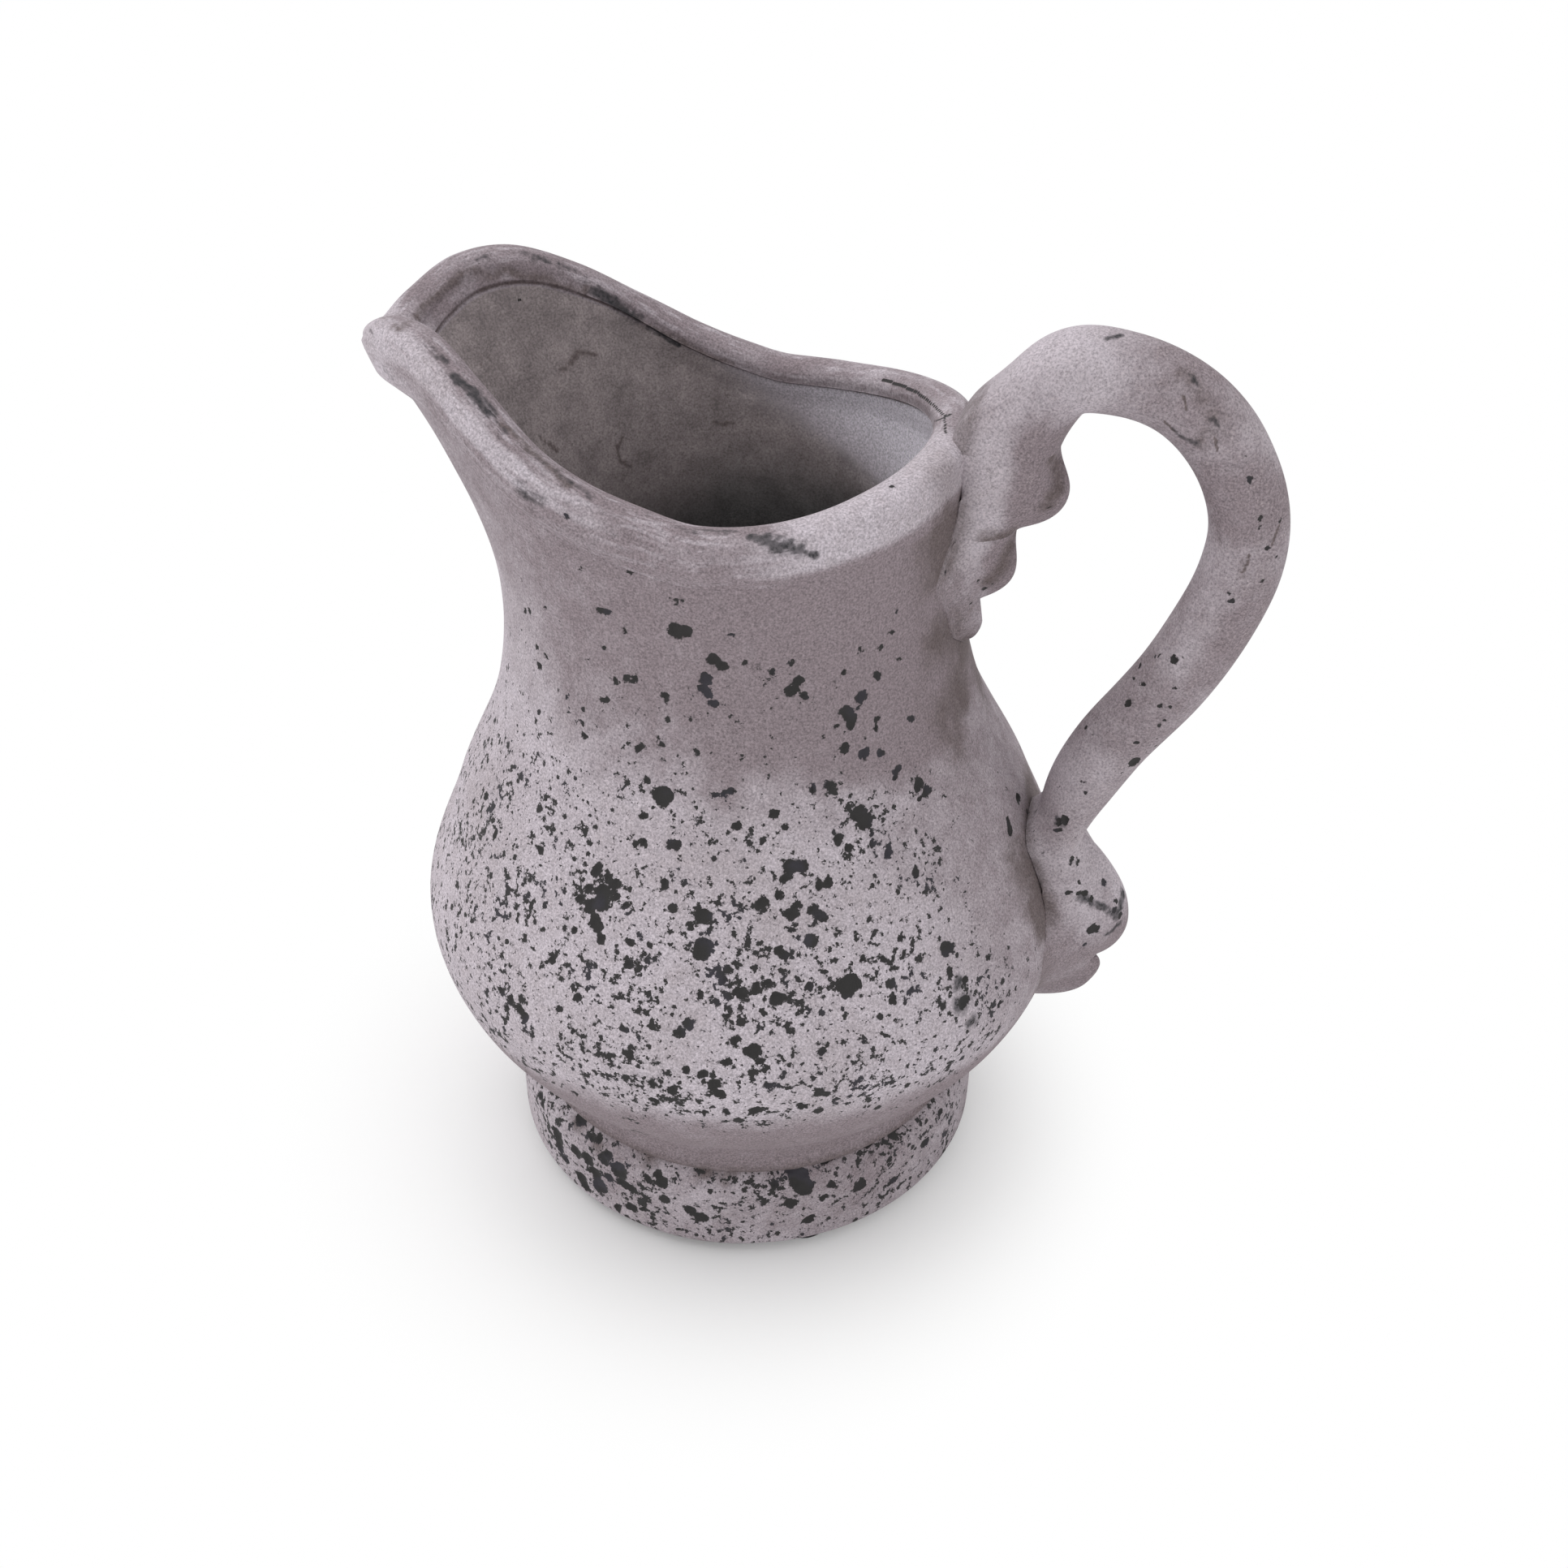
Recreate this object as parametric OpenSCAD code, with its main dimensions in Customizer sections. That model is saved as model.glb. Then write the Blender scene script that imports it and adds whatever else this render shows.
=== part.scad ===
// Stoneware pitcher: a round belly on a foot ring, a rolled rim drawn out into a pouring lip,
// and a looped handle that lands on two stacks of graduated scrolls.
// Z is the axis of the belly, z = 0 is the floor, the handle is at +X and the lip at -X.

/* [Foot] */
// Radius of the foot ring's outer wall
foot_r = 55; // [50:0.5:60]
// Radius of the hollow under the foot ring
foot_hollow_r = 40; // [34:0.5:42]
// Rounding of the foot ring's lower edge
foot_edge = 2; // [1:0.5:4]
// Height of the rounded shoulder on top of the foot ring
foot_shoulder = 8.5; // [4:0.5:12]
// Radius of each rubber pad
pad_r = 5.7; // [4:0.1:6]
// Thickness of each rubber pad
pad_t = 2.8; // [1.5:0.1:4]
// Turn of the first pad away from the handle, in degrees
pad_turn = 60; // [0:1:119]

/* [Belly and neck] */
// Height of the crease between the foot ring and the belly
waist_z = 26; // [22:0.5:32]
// Radius of that crease
waist_r = 49.5; // [47:0.1:52]
// Height of the widest girth
belly_z = 68; // [62:0.5:74]
// Radius of the widest girth
belly_r = 71.5; // [65:0.5:78]
// Height at which the shoulder has run out into the neck
neck_z = 143; // [136:0.5:150]
// Outer radius of the neck
neck_r = 43.4; // [41:0.1:46]
// Thickness of the wall
wall_t = 7; // [5:0.1:8.4]
// Thickness of the floor
floor_t = 8; // [5:0.5:12]

/* [Rim and lip] */
// Height of the rim beside the mouth, where its rounded top begins
rim_z = 172; // [166:0.5:178]
// Radius of the middle of the rim around the mouth
mouth_r = 39; // [36:0.1:42]
// Thickness of the rim
rim_t = 8.8; // [8.6:0.1:10]
// Height of the rounded top of the rim
rim_dome = 3.3; // [2:0.1:4.4]
// Swell of the rim's rolled outer side at the lip, which fades towards the handle
rim_roll = 2; // [0.4:0.1:2.4]
// Rise of the rim where it meets the handle
rim_rise = 7; // [3:0.5:9]
// Distance of the lip's tip from the axis
lip_reach = 70; // [62:0.5:78]
// Rise of the lip above the rim
lip_rise = 24; // [15:0.5:28]
// Height at which the wall starts to lean towards the lip
lean_z = 81; // [76:0.5:90]

/* [Handle] */
// Thickness of the round loop
handle_d = 15.4; // [12:0.1:18]
// Distance of the loop's centre line from the wall where it stands out most
grip_gap = 51.5; // [44:0.5:58]
// Height of the handle's upper landing above the rim
upper_land_rise = 8; // [6:0.5:10]
// Height of the loop's centre line over its upper landing
arch_rise = 15; // [12:0.5:20]
// Height of the handle's lower landing above the girth
lower_land_rise = 24; // [22:0.5:30]
// Stand-out of the handle's upper landing from the wall
upper_land_out = 15.8; // [13:0.1:18]
// Half width of the handle's upper landing
upper_land_w = 10.5; // [8:0.1:12]
// Stand-out of the handle's lower landing from the wall
lower_land_out = 10.2; // [8:0.1:13]
// Half width of the handle's lower landing
lower_land_w = 10.5; // [8:0.1:12]

/* [Upper scrolls] */
// Height of the large upper scroll
upper_large_h = 17.5; // [16:0.5:22]
// Stand-out of the large upper scroll
upper_large_out = 18.4; // [16:0.1:20]
// Half width of the large upper scroll
upper_large_w = 12; // [10.5:0.1:14]
// Height of the middle upper scroll
upper_middle_h = 16.5; // [15:0.5:20]
// Stand-out of the middle upper scroll
upper_middle_out = 10.6; // [10:0.1:13]
// Half width of the middle upper scroll
upper_middle_w = 9.8; // [8:0.1:11]
// Height of the small upper scroll
upper_small_h = 10; // [8:0.5:14]
// Stand-out of the small upper scroll
upper_small_out = 3.2; // [2:0.1:5]
// Half width of the small upper scroll
upper_small_w = 6.6; // [5:0.1:8]

/* [Lower scrolls] */
// Height of the large lower scroll
lower_large_h = 32.5; // [28:0.5:36]
// Stand-out of the large lower scroll
lower_large_out = 14.6; // [13:0.1:18]
// Half width of the large lower scroll
lower_large_w = 14; // [11:0.1:16]
// Height of the small lower scroll
lower_small_h = 13.5; // [11:0.5:17]
// Stand-out of the small lower scroll
lower_small_out = 12.6; // [10:0.1:15]
// Half width of the small lower scroll
lower_small_w = 9; // [7:0.1:11]

/* [Hidden] */

stone = [0.62, 0.58, 0.60];
rubber = [0.10, 0.10, 0.11];

// Gap left for the slip that joins a piece to the wall
slip_gap = 0.05;
// Turns, rows and sides of the surfaces
around = 64;
dome_rows = 6;
scroll_rows = 12;
section_sides = 20;
path_steps = 4;
seat_rows = 4;
flare_rows = 11;
turn_step = 0.05;

pad_count = 3;
pad_ring_r = (foot_hollow_r + foot_r - foot_edge) / 2;
mouth_out_r = mouth_r + rim_t / 2;
upper_land_z = rim_z + upper_land_rise;
lower_land_z = belly_z + lower_land_rise;
apex_z = upper_land_z + arch_rise;

// Knots of the outer wall's profile: height and radius, the ones between two named places
// given as shares of the way from one to the other
underside_shares = [[0.2, 0.2], [0.41, 0.56]];
shoulder_shares = [[0.356, 0.33], [0.692, 0.795]];
profile = concat(
    [[waist_z, waist_r]],
    [for (s = underside_shares) between([waist_z, waist_r], [belly_z, belly_r], s)],
    [[belly_z, belly_r]],
    [for (s = shoulder_shares) between([belly_z, belly_r], [neck_z, neck_r], s)],
    [[neck_z, neck_r], [rim_z, mouth_out_r]]);

// The lip from the side of the mouth to its tip: shares of its reach, of the mouth's radius
// and of its rise. The tip dips, so that the lip pours.
lip_shares = [[0, 1, 0], [0.154, 0.995, 0.09], [0.308, 0.985, 0.24], [0.46, 0.935, 0.47],
              [0.615, 0.79, 0.765], [0.769, 0.60, 0.985], [0.90, 0.42, 0.97],
              [0.98, 0.21, 0.80], [1, 0, 0.70]];
// The wall leans slowly at first and curls out close to the lip
lean_share = 0.42;
lean_power = 1.35;
curl_power = 7.5;
// Share of the leaning wall below the rim band
band_share = 0.93;

// The loop from its upper to its lower landing: shares of the grip gap, of the height between
// the landings, and of the loop's thickness
loop_shares = [[0.275, 0.985, 1.04], [0.48, 1, 0.99], [0.70, 0.965, 0.97], [0.88, 0.88, 0.97],
               [0.985, 0.766, 0.98], [1, 0.648, 1], [0.925, 0.518, 1.02], [0.775, 0.392, 1],
               [0.515, 0.249, 0.98], [0.285, 0.131, 0.97], [0.16, 0.056, 0.98]];
// Depth of the notches between the scrolls, as shares of the lower scroll's stand-out and width
notch_share = 0.92;
// How suddenly a scroll swells out and widens below its notch
swell_powers = [0.5, 0.8];
// A scroll's rounded end closes at this share of its half height
end_share = 0.995;

// Plain curve helpers
function between(a, b, s) = [a[0] + (b[0] - a[0]) * s[0], a[1] + (b[1] - a[1]) * s[1]];
function mix(a, b, s) = a + (b - a) * s;
function ease(s) = s * s * (3 - 2 * s);
function chord(k, i) = (k[i + 1][1] - k[i][1]) / (k[i + 1][0] - k[i][0]);
function slope(k, i) =
    i == 0 ? chord(k, 0)
    : i == len(k) - 1 ? 0
    : let (a = k[i][0] - k[i - 1][0], b = k[i + 1][0] - k[i][0])
      (chord(k, i - 1) * b + chord(k, i) * a) / (a + b);
function hermite(k, i, s, h) =
    k[i][1] * (1 + 2 * s) * pow(1 - s, 2) + slope(k, i) * h * s * pow(1 - s, 2)
    + k[i + 1][1] * s * s * (3 - 2 * s) + slope(k, i + 1) * h * s * s * (s - 1);
function rounded(a, b, c, d, s) =
    (2 * b + (c - a) * s + (2 * a - 5 * b + 4 * c - d) * s * s
     + (3 * b - a - 3 * c + d) * pow(s, 3)) / 2;

// Outer radius of the wall at a height, without the lip
function wall_r(z) =
    let (y = min(max(z, profile[0][0]), rim_z),
         i = max([for (j = [0 : len(profile) - 2]) if (y >= profile[j][0]) j]),
         h = profile[i + 1][0] - profile[i][0])
    hermite(profile, i, (y - profile[i][0]) / h, h);

// Middle of the rim at a turn from the handle
function lip_row(i) =
    let (last = len(lip_shares) - 1)
    i < 0 ? [-lip_shares[1][0], lip_shares[1][1], lip_shares[1][2]]
    : i > last ? [lip_shares[last - 1][0], -lip_shares[last - 1][1], lip_shares[last - 1][2]]
    : lip_shares[i];
function lip_at(s) =
    let (x = s * (len(lip_shares) - 1), i = min(floor(x), len(lip_shares) - 2))
    rounded(lip_row(i - 1), lip_row(i), lip_row(i + 1), lip_row(i + 2), x - i);
function crest(turn) =
    let (a = (turn + 360) % 360, side = a <= 180 ? 1 : -1, b = a <= 180 ? a : 360 - a,
         q = b > 90 ? lip_at((b - 90) / 90) : [0, 0, 0])
    b <= 90
    ? [mouth_r * cos(b), side * mouth_r * sin(b), rim_z + rim_rise * pow(cos(b), 2)]
    : [-lip_reach * q[0], side * mouth_r * q[1], rim_z + lip_rise * q[2]];
function outward(turn) =
    let (d = crest(turn + turn_step) - crest(turn - turn_step), n = norm([d[0], d[1]]))
    [d[1] / n, -d[0] / n, 0];

// Point of the wall at a turn, a share of its leaning height and an offset from the rim's middle
function lean(t) = lean_share * pow(t, lean_power) + (1 - lean_share) * pow(t, curl_power);
function wall_at(turn, t, offset) =
    let (ray = [cos(turn), sin(turn), 0], c = crest(turn), w = lean(t),
         top = c + offset * outward(turn),
         z = mix(lean_z, rim_z, t) + w * (c[2] - rim_z),
         r = wall_r(z) - rim_t / 2 + offset,
         flat = r * ray + w * (top - (mouth_r + offset) * ray))
    [flat[0], flat[1], z];

function turns() = [for (i = [0 : around - 1]) 360 * i / around];
function hoop(r, z) = [for (a = turns()) [r * cos(a), r * sin(a), z]];
function lean_hoop(t, offset) = [for (a = turns()) wall_at(a, t, offset)];

// Faces of rows of points: a skin between rows, and a lid at each end or the rows joined round
function skin(rows, sides, joined) =
    [for (i = [0 : rows - (joined ? 1 : 2)], j = [0 : sides - 1])
        let (a = i * sides + j, b = i * sides + (j + 1) % sides,
             c = ((i + 1) % rows) * sides + j, d = ((i + 1) % rows) * sides + (j + 1) % sides)
        each [[a, c, b], [b, c, d]]];
function lids(rows, sides) =
    [[for (j = [0 : sides - 1]) j], [for (j = [sides - 1 : -1 : 0]) (rows - 1) * sides + j]];
module lofted(rows, joined = false) {
    sides = len(rows[0]);
    polyhedron(points = [for (r = rows) each r],
               faces = concat(skin(len(rows), sides, joined), joined ? [] : lids(len(rows), sides)));
}

// Half-round section that lies on the wall: how far a point stands out, and its place across
function half_round(a, r, out, half_w) =
    [sqrt(r * r - pow(half_w * cos(a), 2)) - r + out * max(0, sin(a)), half_w * cos(a)];
function landing(z, out, half_w) =
    let (r = wall_r(z) + slip_gap)
    [for (a = section_turns()) let (q = half_round(a, r, out, half_w)) [r + q[0], q[1], z]];
function section_turns() = [for (i = [0 : section_sides - 1]) -360 * i / section_sides];
function seated(p) =
    let (r = norm([p[0], p[1]]), least = wall_r(p[2]) + slip_gap)
    r < least ? [p[0] * least / r, p[1] * least / r, p[2]] : p;

module body() {
    under_rows = 5;
    girth_rows = 3;
    lean_rows = 13;
    inner_offset = rim_t / 2 - wall_t;
    floor_z = waist_z + floor_t;
    // Heights of the rows from the lowest one up to the girth and on to the leaning wall
    function levels(low) = concat(
        [for (i = [0 : under_rows - 1]) mix(low, belly_z, i / under_rows)],
        [for (i = [0 : girth_rows - 1]) mix(belly_z, lean_z, i / girth_rows)]);
    function turned(a) = [for (i = [len(a) - 1 : -1 : 0]) a[i]];
    color(stone)
        lofted(concat(
            [for (z = levels(waist_z)) hoop(wall_r(z), z)],
            [for (i = [0 : lean_rows]) lean_hoop(band_share * i / lean_rows, rim_t / 2)],
            [for (i = [lean_rows : -1 : 0]) lean_hoop(band_share * i / lean_rows, inner_offset)],
            [for (z = turned(levels(floor_z))) hoop(wall_r(z) - wall_t, z)]));
}

module rim_band() {
    side_rows = 4;
    inner_seat = rim_t / 2 - wall_t;
    function side(i) = mix(band_share, 1, i / side_rows);
    function rolled(turn, i) = rim_t / 2 + rim_roll * sin(180 * i / side_rows) * (1 - cos(turn)) / 2;
    function domed(turn, a) =
        crest(turn) + outward(turn) * rim_t / 2 * cos(a) + [0, 0, rim_dome * sin(a)];
    color(stone)
        lofted(concat(
            [lean_hoop(band_share, inner_seat)],
            [for (i = [0 : side_rows - 1])
                [for (turn = turns()) wall_at(turn, side(i), rolled(turn, i))]],
            [for (i = [0 : dome_rows])
                [for (turn = turns()) domed(turn, 180 * i / dome_rows)]],
            [for (i = [side_rows - 1 : -1 : 1]) lean_hoop(side(i), -rim_t / 2)]),
            joined = true);
}

module foot_ring() {
    bends = 8;
    color(stone)
        rotate_extrude($fn = 96)
            polygon(concat(
                [[foot_hollow_r, pad_t]],
                [for (i = [0 : bends])
                    [foot_r - foot_edge + foot_edge * sin(90 * i / bends),
                     pad_t + foot_edge - foot_edge * cos(90 * i / bends)]],
                [for (i = [0 : bends])
                    [mix(waist_r, foot_r, cos(90 * i / bends)),
                     waist_z - foot_shoulder * (1 - sin(90 * i / bends))]],
                [[foot_hollow_r, waist_z]]));
}

module foot_pad(i) {
    color(rubber)
        rotate(pad_turn + 360 / pad_count * i)
            translate([pad_ring_r, 0, 0])
                cylinder(r = pad_r, h = pad_t, $fn = 48);
}

// Centre line of the loop as x, z and the radius of its section, from landing to landing
loop = concat(
    [[wall_r(upper_land_z) + slip_gap + upper_land_out / 2, upper_land_z, handle_d / 2]],
    [for (s = loop_shares)
        let (z = mix(lower_land_z, apex_z, s[1])) [wall_r(z) + grip_gap * s[0], z, handle_d / 2 * s[2]]],
    [[wall_r(lower_land_z) + slip_gap + lower_land_out / 2, lower_land_z, handle_d / 2]]);
function upright(end, next) = [next[0], 2 * end[1] - next[1], end[2]];
function loop_knot(i) =
    let (last = len(loop) - 1)
    i < 0 ? upright(loop[0], loop[1]) : i > last ? upright(loop[last], loop[last - 1]) : loop[i];
function loop_at(x) =
    let (i = min(floor(x), len(loop) - 2))
    rounded(loop_knot(i - 1), loop_knot(i), loop_knot(i + 1), loop_knot(i + 2), x - i);

// The loop is round, widens into an oval near each landing and ends flat on the wall there
module handle() {
    last = (len(loop) - 1) * path_steps;
    function flared(a, rows, tube, z, out, half_w) =
        let (r = wall_r(z) + slip_gap,
             flat = half_round(a, r, out, half_w) - [out / 2, 0],
             oval = [out / 2 * sin(a), half_w * cos(a)])
        mix(mix(flat, oval, ease(min(1, rows / seat_rows))), tube,
            ease(min(1, rows / flare_rows)));
    function ring(i) =
        let (x = i / path_steps, c = loop_at(x), d = loop_at(x + turn_step) - loop_at(x - turn_step),
             n = norm([d[0], d[1]]), falling = i > last / 2)
        [for (a = section_turns())
            let (tube = c[2] * [sin(a), cos(a)],
                 q = falling
                     ? flared(-a, last - i, [-tube[0], tube[1]], lower_land_z, lower_land_out, lower_land_w)
                     : flared(a, i, tube, upper_land_z, upper_land_out, upper_land_w),
                 stand = falling ? -q[0] : q[0])
            seated([c[0] + stand * d[1] / n, q[1], c[1] - stand * d[0] / n])];
    color(stone)
        lofted([for (i = [0 : last]) ring(i)]);
}

// A scroll hangs from one level to the next: its stand-out and half width go from the upper
// notch to the lower one and swell between them, or close in a round end
module scroll(top_z, h, top, middle, bottom, closed = false, fullness = 2) {
    span = closed ? end_share : 1;
    function size(k, s) =
        let (swell = pow(max(0, 1 - pow(abs(s), fullness)), closed && s > 0 ? 1 / 2 : swell_powers[k]))
        closed && s > 0 ? middle[k] * swell
        : let (low = closed ? top[k] : mix(top[k], bottom[k], (s + 1) / 2)) mix(low, middle[k], swell);
    color(stone)
        lofted([for (i = [scroll_rows : -1 : 0])
            let (s = -1 + (1 + span) * i / scroll_rows)
            landing(top_z - h * (s + 1) / 2, size(0, s), size(1, s))]);
}

upper_landing = [upper_land_out, upper_land_w];
lower_landing = [lower_land_out, lower_land_w];
upper_large = [upper_large_out, upper_large_w];
upper_middle = [upper_middle_out, upper_middle_w];
upper_small = [upper_small_out, upper_small_w];
lower_large = [lower_large_out, lower_large_w];
lower_small = [lower_small_out, lower_small_w];
lower_notch_share = 0.68;
upper_middle_z = upper_land_z - upper_large_h;
upper_small_z = upper_middle_z - upper_middle_h;
lower_small_z = lower_land_z - lower_large_h;

module upper_scroll_large() {
    scroll(upper_land_z, upper_large_h, upper_landing, upper_large, upper_middle * notch_share);
}
module upper_scroll_middle() {
    scroll(upper_middle_z, upper_middle_h, upper_middle * notch_share, upper_middle,
           upper_small * notch_share);
}
module upper_scroll_small() {
    scroll(upper_small_z, upper_small_h, upper_small * notch_share, upper_small, [0, 0], closed = true);
}
module lower_scroll_large() {
    scroll(lower_land_z, lower_large_h, lower_landing, lower_large, lower_small * lower_notch_share,
           fullness = 1.6);
}
module lower_scroll_small() {
    scroll(lower_small_z, lower_small_h, lower_small * lower_notch_share, lower_small, [0, 0],
           closed = true, fullness = 3);
}

body();
rim_band();
foot_ring();
handle();
upper_scroll_large();
upper_scroll_middle();
upper_scroll_small();
lower_scroll_large();
lower_scroll_small();
foot_pad(0);  // foot_pad_1
foot_pad(1);  // foot_pad_2
foot_pad(2);  // foot_pad_3
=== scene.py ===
import math

import bpy
import numpy as np
from mathutils import Matrix, Vector


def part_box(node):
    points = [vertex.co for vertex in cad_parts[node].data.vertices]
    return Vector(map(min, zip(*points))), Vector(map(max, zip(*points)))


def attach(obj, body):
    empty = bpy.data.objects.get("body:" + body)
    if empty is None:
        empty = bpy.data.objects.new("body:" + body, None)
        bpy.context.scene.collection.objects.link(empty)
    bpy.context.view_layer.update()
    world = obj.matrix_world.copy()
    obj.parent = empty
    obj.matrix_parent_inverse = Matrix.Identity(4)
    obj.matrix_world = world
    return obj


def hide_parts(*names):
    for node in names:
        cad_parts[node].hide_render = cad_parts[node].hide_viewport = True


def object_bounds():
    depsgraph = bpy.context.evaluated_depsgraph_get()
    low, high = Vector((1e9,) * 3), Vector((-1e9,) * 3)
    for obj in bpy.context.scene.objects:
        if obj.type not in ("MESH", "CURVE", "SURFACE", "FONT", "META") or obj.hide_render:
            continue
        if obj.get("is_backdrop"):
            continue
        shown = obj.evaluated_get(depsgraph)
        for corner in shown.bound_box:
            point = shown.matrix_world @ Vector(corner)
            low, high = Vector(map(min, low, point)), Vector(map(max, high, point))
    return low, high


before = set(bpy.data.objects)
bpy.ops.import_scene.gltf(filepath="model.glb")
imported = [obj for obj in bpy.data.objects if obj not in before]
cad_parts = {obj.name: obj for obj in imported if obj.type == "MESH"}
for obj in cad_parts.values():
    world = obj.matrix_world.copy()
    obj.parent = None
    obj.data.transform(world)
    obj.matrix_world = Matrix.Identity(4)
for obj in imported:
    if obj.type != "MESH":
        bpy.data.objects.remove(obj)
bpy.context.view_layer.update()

# Camera
# The photograph looks down on the pitcher from close by, on the side between grip and lip, so the
# foot looks small under the belly. It is square, and the lens is given in the photograph's pixels.
mm = 0.001
photo_px = 1932
lens_px = 2100
eye_place = Vector((72.8, -292.1, 315.5)) * mm
eye_turn, eye_dip, eye_roll = 12.50, 36.57, 1.01
lens = bpy.data.cameras.new("photo_lens")
lens.sensor_width = 36
lens.lens = lens.sensor_width * lens_px / photo_px
lens.clip_start, lens.clip_end = 0.01, 20
camera = bpy.data.objects.new("photo_camera", lens)
camera.matrix_world = (Matrix.Translation(eye_place)
                       @ Matrix.Rotation(math.radians(eye_turn), 4, "Z")
                       @ Matrix.Rotation(math.radians(90 - eye_dip), 4, "X")
                       @ Matrix.Rotation(math.radians(eye_roll), 4, "Z"))
bpy.context.scene.collection.objects.link(camera)
bpy.context.scene.camera = camera


# Foot pads
# Three round discs of dark rubber, cut from sheet, keep the stoneware off the table.
# They are glued flat to the underside of the foot ring, a third of a turn apart.
class Wire:
    """A socket of the material in hand, so that shader maths reads as plain expressions."""
    tree = None

    def __init__(self, socket):
        self.socket = socket

    @classmethod
    def node(cls, kind, settings=None, sockets=None, out=0):
        made = cls.tree.nodes.new(kind)
        for name, value in (settings or {}).items():
            if name == "stops":
                ramp = made.color_ramp
                while len(ramp.elements) > 1:
                    ramp.elements.remove(ramp.elements[-1])
                ramp.elements[0].position, ramp.elements[0].color = value[0]
                for place, colour in value[1:]:
                    ramp.elements.new(place).color = colour
            else:
                setattr(made, name, value)
        for name, value in (sockets or {}).items():
            if isinstance(value, Wire):
                cls.tree.links.new(value.socket, made.inputs[name])
            else:
                made.inputs[name].default_value = value
        return cls(made.outputs[out]) if len(made.outputs) else made

    def maths(self, operation, other, turned=False):
        pair = (other, self) if turned else (self, other)
        return Wire.node("ShaderNodeMath", {"operation": operation}, {0: pair[0], 1: pair[1]})

    def __add__(self, other):
        return self.maths("ADD", other)

    def __sub__(self, other):
        return self.maths("SUBTRACT", other)

    def __rsub__(self, other):
        return self.maths("SUBTRACT", other, turned=True)

    def __mul__(self, other):
        return self.maths("MULTIPLY", other)

    def __pow__(self, other):
        return self.maths("POWER", other)

    __radd__ = __add__
    __rmul__ = __mul__

    def over(self, other):
        return self.maths("MAXIMUM", other)

    def step(self, low, high):
        return Wire.node("ShaderNodeMapRange", {"interpolation_type": "SMOOTHSTEP"},
                         {"Value": self, "From Min": low, "From Max": high})

    def scaled(self, share):
        return Wire.node("ShaderNodeVectorMath", {"operation": "SCALE"}, {0: self, "Scale": share})

    def moved(self, other):
        return Wire.node("ShaderNodeVectorMath", {"operation": "ADD"}, {0: self, 1: other})

    def swing(self, share):
        return (self - 0.5) * share

    def tinted(self, other, share, blend="MIX"):
        return Wire.node("ShaderNodeMix", {"data_type": "RGBA", "blend_type": blend},
                         {0: share, 6: self, 7: other}, 2)


def new_material(name):
    material = bpy.data.materials.new(name)
    material.use_nodes = True
    material.node_tree.nodes.clear()
    Wire.tree = material.node_tree
    return material


def cloudy(place, size, detail=2, rough=0.5, out=0):
    return Wire.node("ShaderNodeTexNoise", None,
                     {"Vector": place, "Scale": 1 / size, "Detail": detail, "Roughness": rough}, out)


def surface(shader):
    Wire.node("ShaderNodeOutputMaterial", None, {"Surface": shader})


def places_mm():
    return Wire.node("ShaderNodeTexCoord", None, None, "Object").scaled(1 / mm)


def lofted(name, rows, material, joined=False, facts=None, crease=60, tucks=(False, False)):
    """Makes a closed mesh of rows of points in mm, joined round or closed by a point at each end.
    A tucked end gets one more row, drawn in and pushed on, so that it hides in the next piece."""
    for end, tuck in enumerate(tucks):
        if tuck:
            edge, inner = (rows[0], rows[1]) if end == 0 else (rows[-1], rows[-2])
            push = edge.mean(0) - inner.mean(0)
            extra = edge.mean(0) + 0.8 * (edge - edge.mean(0)) + 0.6 * push / np.linalg.norm(push)
            extra = extra[None]
            rows = np.concatenate([extra, rows] if end == 0 else [rows, extra])
            facts = {fact: np.concatenate([values[:1], values] if end == 0 else [values, values[-1:]])
                     for fact, values in facts.items()}
    count, sides = rows.shape[:2]
    points = rows.reshape(-1, 3)
    i, j = np.meshgrid(np.arange(count if joined else count - 1), np.arange(sides), indexing="ij")
    here, beside = i * sides + j, i * sides + (j + 1) % sides
    above, across = (i + 1) % count * sides + j, (i + 1) % count * sides + (j + 1) % sides
    quads = np.stack([here, beside, across, above], -1).reshape(-1, 4)
    fans = np.zeros((0, 3), int)
    if not joined:
        first, last = np.arange(sides), np.arange(sides) + (count - 1) * sides
        low, high = np.full(sides, len(points)), np.full(sides, len(points) + 1)
        fans = np.concatenate([np.stack([low, np.roll(first, -1), first], -1),
                               np.stack([high, last, np.roll(last, -1)], -1)])
        points = np.concatenate([points, [rows[0].mean(0), rows[-1].mean(0)]])
    corners = np.concatenate([quads.ravel(), fans.ravel()])
    starts = np.concatenate([np.arange(len(quads)) * 4, quads.size + np.arange(len(fans)) * 3])
    mesh = bpy.data.meshes.new(name)
    mesh.vertices.add(len(points))
    mesh.vertices.foreach_set("co", (points * mm).astype(np.float32).ravel())
    mesh.loops.add(len(corners))
    mesh.loops.foreach_set("vertex_index", corners.astype(np.int32))
    mesh.polygons.add(len(starts))
    mesh.polygons.foreach_set("loop_start", starts.astype(np.int32))
    mesh.update(calc_edges=True)
    mesh.validate()
    for fact, values in (facts or {}).items():
        flat = values.reshape(count * sides, -1)
        spare = len(points) - len(flat)
        flat = np.concatenate([flat, np.repeat(flat[-1:], spare, 0)])
        kind, field = ("FLOAT", "value") if flat.shape[1] == 1 else ("FLOAT_VECTOR", "vector")
        mesh.attributes.new(fact, kind, "POINT").data.foreach_set(field, flat.astype(np.float32).ravel())
    mesh.shade_smooth()
    mesh.set_sharp_from_angle(angle=math.radians(crease))
    mesh.materials.append(material)
    piece = bpy.data.objects.new(name, mesh)
    bpy.context.scene.collection.objects.link(piece)
    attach(piece, "root")
    return piece


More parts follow.
